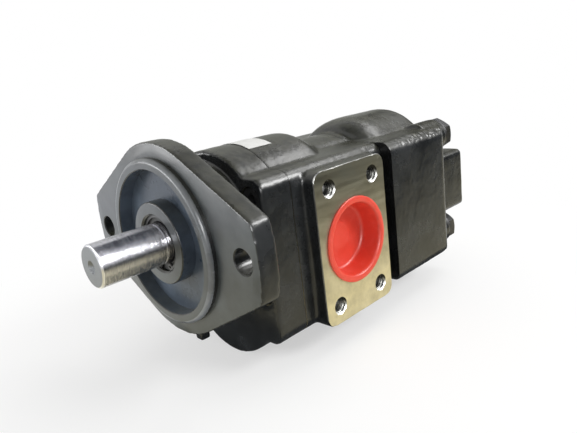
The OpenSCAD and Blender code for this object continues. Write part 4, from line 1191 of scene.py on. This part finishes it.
class PUMP_OT_stage(PumpPiece):
    """Sets the floor, the world, the lamps, the cards and the camera"""
    bl_idname = "pump.stage"
    bl_label = "Stage"

    def build(self, sizes, look):
        scene = bpy.context.scene
        scene.view_settings.view_transform = "Standard"
        self.world(scene)
        self.floor()
        for name, values in LAMPS.items():
            self.lamp(name, *values)
        for name, values in FLOOR_CARDS.items():
            self.floor_card(name, *values)
        for name, values in CARDS.items():
            self.card(name, *values)
        self.camera(scene)

    def seen(self, tree):
        """1 for what the camera, a reflection or a transmission sees, and 0 for the light itself."""
        path = tree.nodes.new("ShaderNodeLightPath").outputs
        seen = calc(tree, "MAXIMUM", path["Is Camera Ray"], path["Is Transmission Ray"])
        return calc(tree, "MAXIMUM", seen, path["Is Glossy Ray"])

    def world(self, scene):
        """A white world that lights at half the strength at which it is seen."""
        scene.world = bpy.data.worlds.new("studio")
        scene.world.use_nodes = True
        tree = scene.world.node_tree
        light = tree.nodes["Background"]
        light.inputs["Color"].default_value = (1, 1, 1, 1)
        tree.links.new(ramp_node(tree, self.seen(tree), 0.0, 1.0, 0.5, 1.0), light.inputs["Strength"])

    def floor(self):
        """A pale floor that takes the shadow and fades to white round the pump."""
        z = CAD_BOX[0][2] - 0.0002
        size = 3.0
        floor = new_object("floor", [(-size, -size, z), (size, -size, z), (size, size, z), (-size, size, z)],
                           [(0, 1, 2, 3)])
        material, tree = new_material("pale_floor")
        shader = tree.nodes["Principled BSDF"]
        matt = {"Base Color": (0.9, 0.9, 0.89, 1), "Roughness": 0.9, "Specular IOR Level": 0.0}
        for label, value in matt.items():
            shader.inputs[label].default_value = value
        glow = tree.nodes.new("ShaderNodeEmission")
        glow.inputs["Color"].default_value = (1, 1, 1, 1)
        away = tree.nodes.new("ShaderNodeVectorMath")
        away.operation = "DISTANCE"
        tree.links.new(tree.nodes.new("ShaderNodeTexCoord").outputs["Object"], away.inputs[0])
        away.inputs[1].default_value = (0.1, 0.0, z)
        far = ramp_node(tree, away.outputs["Value"], 0.10, 0.34, 0.55, 1.0)
        mixed = tree.nodes.new("ShaderNodeMixShader")
        sources = (calc(tree, "MULTIPLY", far, self.seen(tree)), shader.outputs[0], glow.outputs[0])
        for socket, source in zip(mixed.inputs, sources):
            tree.links.new(source, socket)
        tree.links.new(mixed.outputs[0], tree.nodes["Material Output"].inputs["Surface"])
        floor.data.materials.append(material)
        floor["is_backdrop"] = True

    def aim(self, obj, azimuth, elevation, distance):
        """Places an object round the pump and turns it to the middle."""
        a, e = math.radians(azimuth), math.radians(elevation)
        towards = Vector((math.sin(a) * math.cos(e), -math.cos(a) * math.cos(e), math.sin(e)))
        obj.location = MIDDLE + distance * towards
        obj.rotation_euler = towards.to_track_quat("Z", "Y").to_euler()

    def lamp(self, name, azimuth, elevation, width, height, power, lights):
        """A soft lamp, or one that only reflections see."""
        data = bpy.data.lights.new(name, "AREA")
        data.shape = "RECTANGLE"
        data.size, data.size_y = width, height
        data.energy = power
        lamp = linked(name, data)
        lamp.visible_diffuse = lights
        self.aim(lamp, azimuth, elevation, LAMP_DISTANCE)

    def card(self, name, azimuth, elevation, distance, width, height, tone):
        """A plain card round the pump that only reflections see."""
        w, h = width / 2, height / 2
        card, glow = self.glowing(name, [(-w, -h, 0), (w, -h, 0), (w, h, 0), (-w, h, 0)])
        self.aim(card, azimuth, elevation, distance)
        glow.inputs["Color"].default_value = (*tone, 1.0)

    def floor_card(self, name, across, along, graded, start, stop):
        """A card on the floor, graded along Y from one colour to another."""
        z = CAD_BOX[0][2] + 0.0004
        (x0, x1), (y0, y1) = across, along
        glow = self.glowing(name, [(x0, y0, z), (x1, y0, z), (x1, y1, z), (x0, y1, z)])[1]
        tree = glow.id_data
        coords = tree.nodes.new("ShaderNodeTexCoord").outputs["Object"]
        part = ramp_node(tree, split(tree, coords)["Y"], graded[0], graded[1])
        tree.links.new(mix_node(tree, part, start, stop), glow.inputs["Color"])

    def glowing(self, name, corners):
        """A card that only reflections see, and its emission node."""
        card = new_object(name, corners, [(0, 1, 2, 3)])
        material, tree = new_material(name)
        tree.nodes.remove(tree.nodes["Principled BSDF"])
        glow = tree.nodes.new("ShaderNodeEmission")
        tree.links.new(glow.outputs[0], tree.nodes["Material Output"].inputs["Surface"])
        card.data.materials.append(material)
        card.visible_camera = False
        card.visible_diffuse = False
        card.visible_shadow = False
        card.visible_transmission = False
        card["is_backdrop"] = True
        return card, glow

    def camera(self, scene):
        """The camera fitted to the photograph."""
        data = bpy.data.cameras.new("photo_camera")
        data.sensor_width = SENSOR
        data.lens = FOCAL_LENGTH / PHOTO_WIDTH * SENSOR
        data.clip_start = 0.01
        scene.camera = linked("photo_camera", data)
        turn = Matrix(((0.70858, 0.27423, -0.65016),
                       (-0.69484, 0.11061, -0.71061),
                       (-0.12296, 0.95528, 0.26892)))
        scene.camera.matrix_world = Matrix.Translation((-0.148333, -0.272731, 0.089682)) @ turn.to_4x4()


class PUMP_PT_pieces(bpy.types.Panel):
    """Lists the pieces and their settings"""
    bl_label = "Tandem gear pump"
    bl_idname = "PUMP_PT_pieces"
    bl_space_type = "VIEW_3D"
    bl_region_type = "UI"
    bl_category = "Pump"

    def draw(self, context):
        for settings in (context.scene.pump_sizes, context.scene.pump_finishes):
            for label in settings.__annotations__:
                self.layout.prop(settings, label)
        for piece in PIECES:
            self.layout.operator(piece.bl_idname)


PIECES = (
    PUMP_OT_front_cover, PUMP_OT_front_housing, PUMP_OT_rear_housing, PUMP_OT_fasteners, PUMP_OT_threads,
    PUMP_OT_transit_cap, PUMP_OT_label, PUMP_OT_inner_parts, PUMP_OT_stage,
)
CLASSES = (PumpFinishes, PumpSizes) + PIECES + (PUMP_PT_pieces,)


def register():
    for cls in CLASSES:
        bpy.utils.register_class(cls)
    bpy.types.Scene.pump_finishes = bpy.props.PointerProperty(type=PumpFinishes)
    bpy.types.Scene.pump_sizes = bpy.props.PointerProperty(type=PumpSizes)


def unregister():
    del bpy.types.Scene.pump_sizes
    del bpy.types.Scene.pump_finishes
    for cls in reversed(CLASSES):
        bpy.utils.unregister_class(cls)


def main():
    register()
    for piece in PIECES:
        getattr(bpy.ops.pump, piece.bl_idname.split(".")[1])()
    boxes = {"cad": CAD_BOX, "visual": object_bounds()}
    {k: [[float(c) for c in corner] for corner in box] for k, box in boxes.items()}


if __name__ == "__main__":
    main()
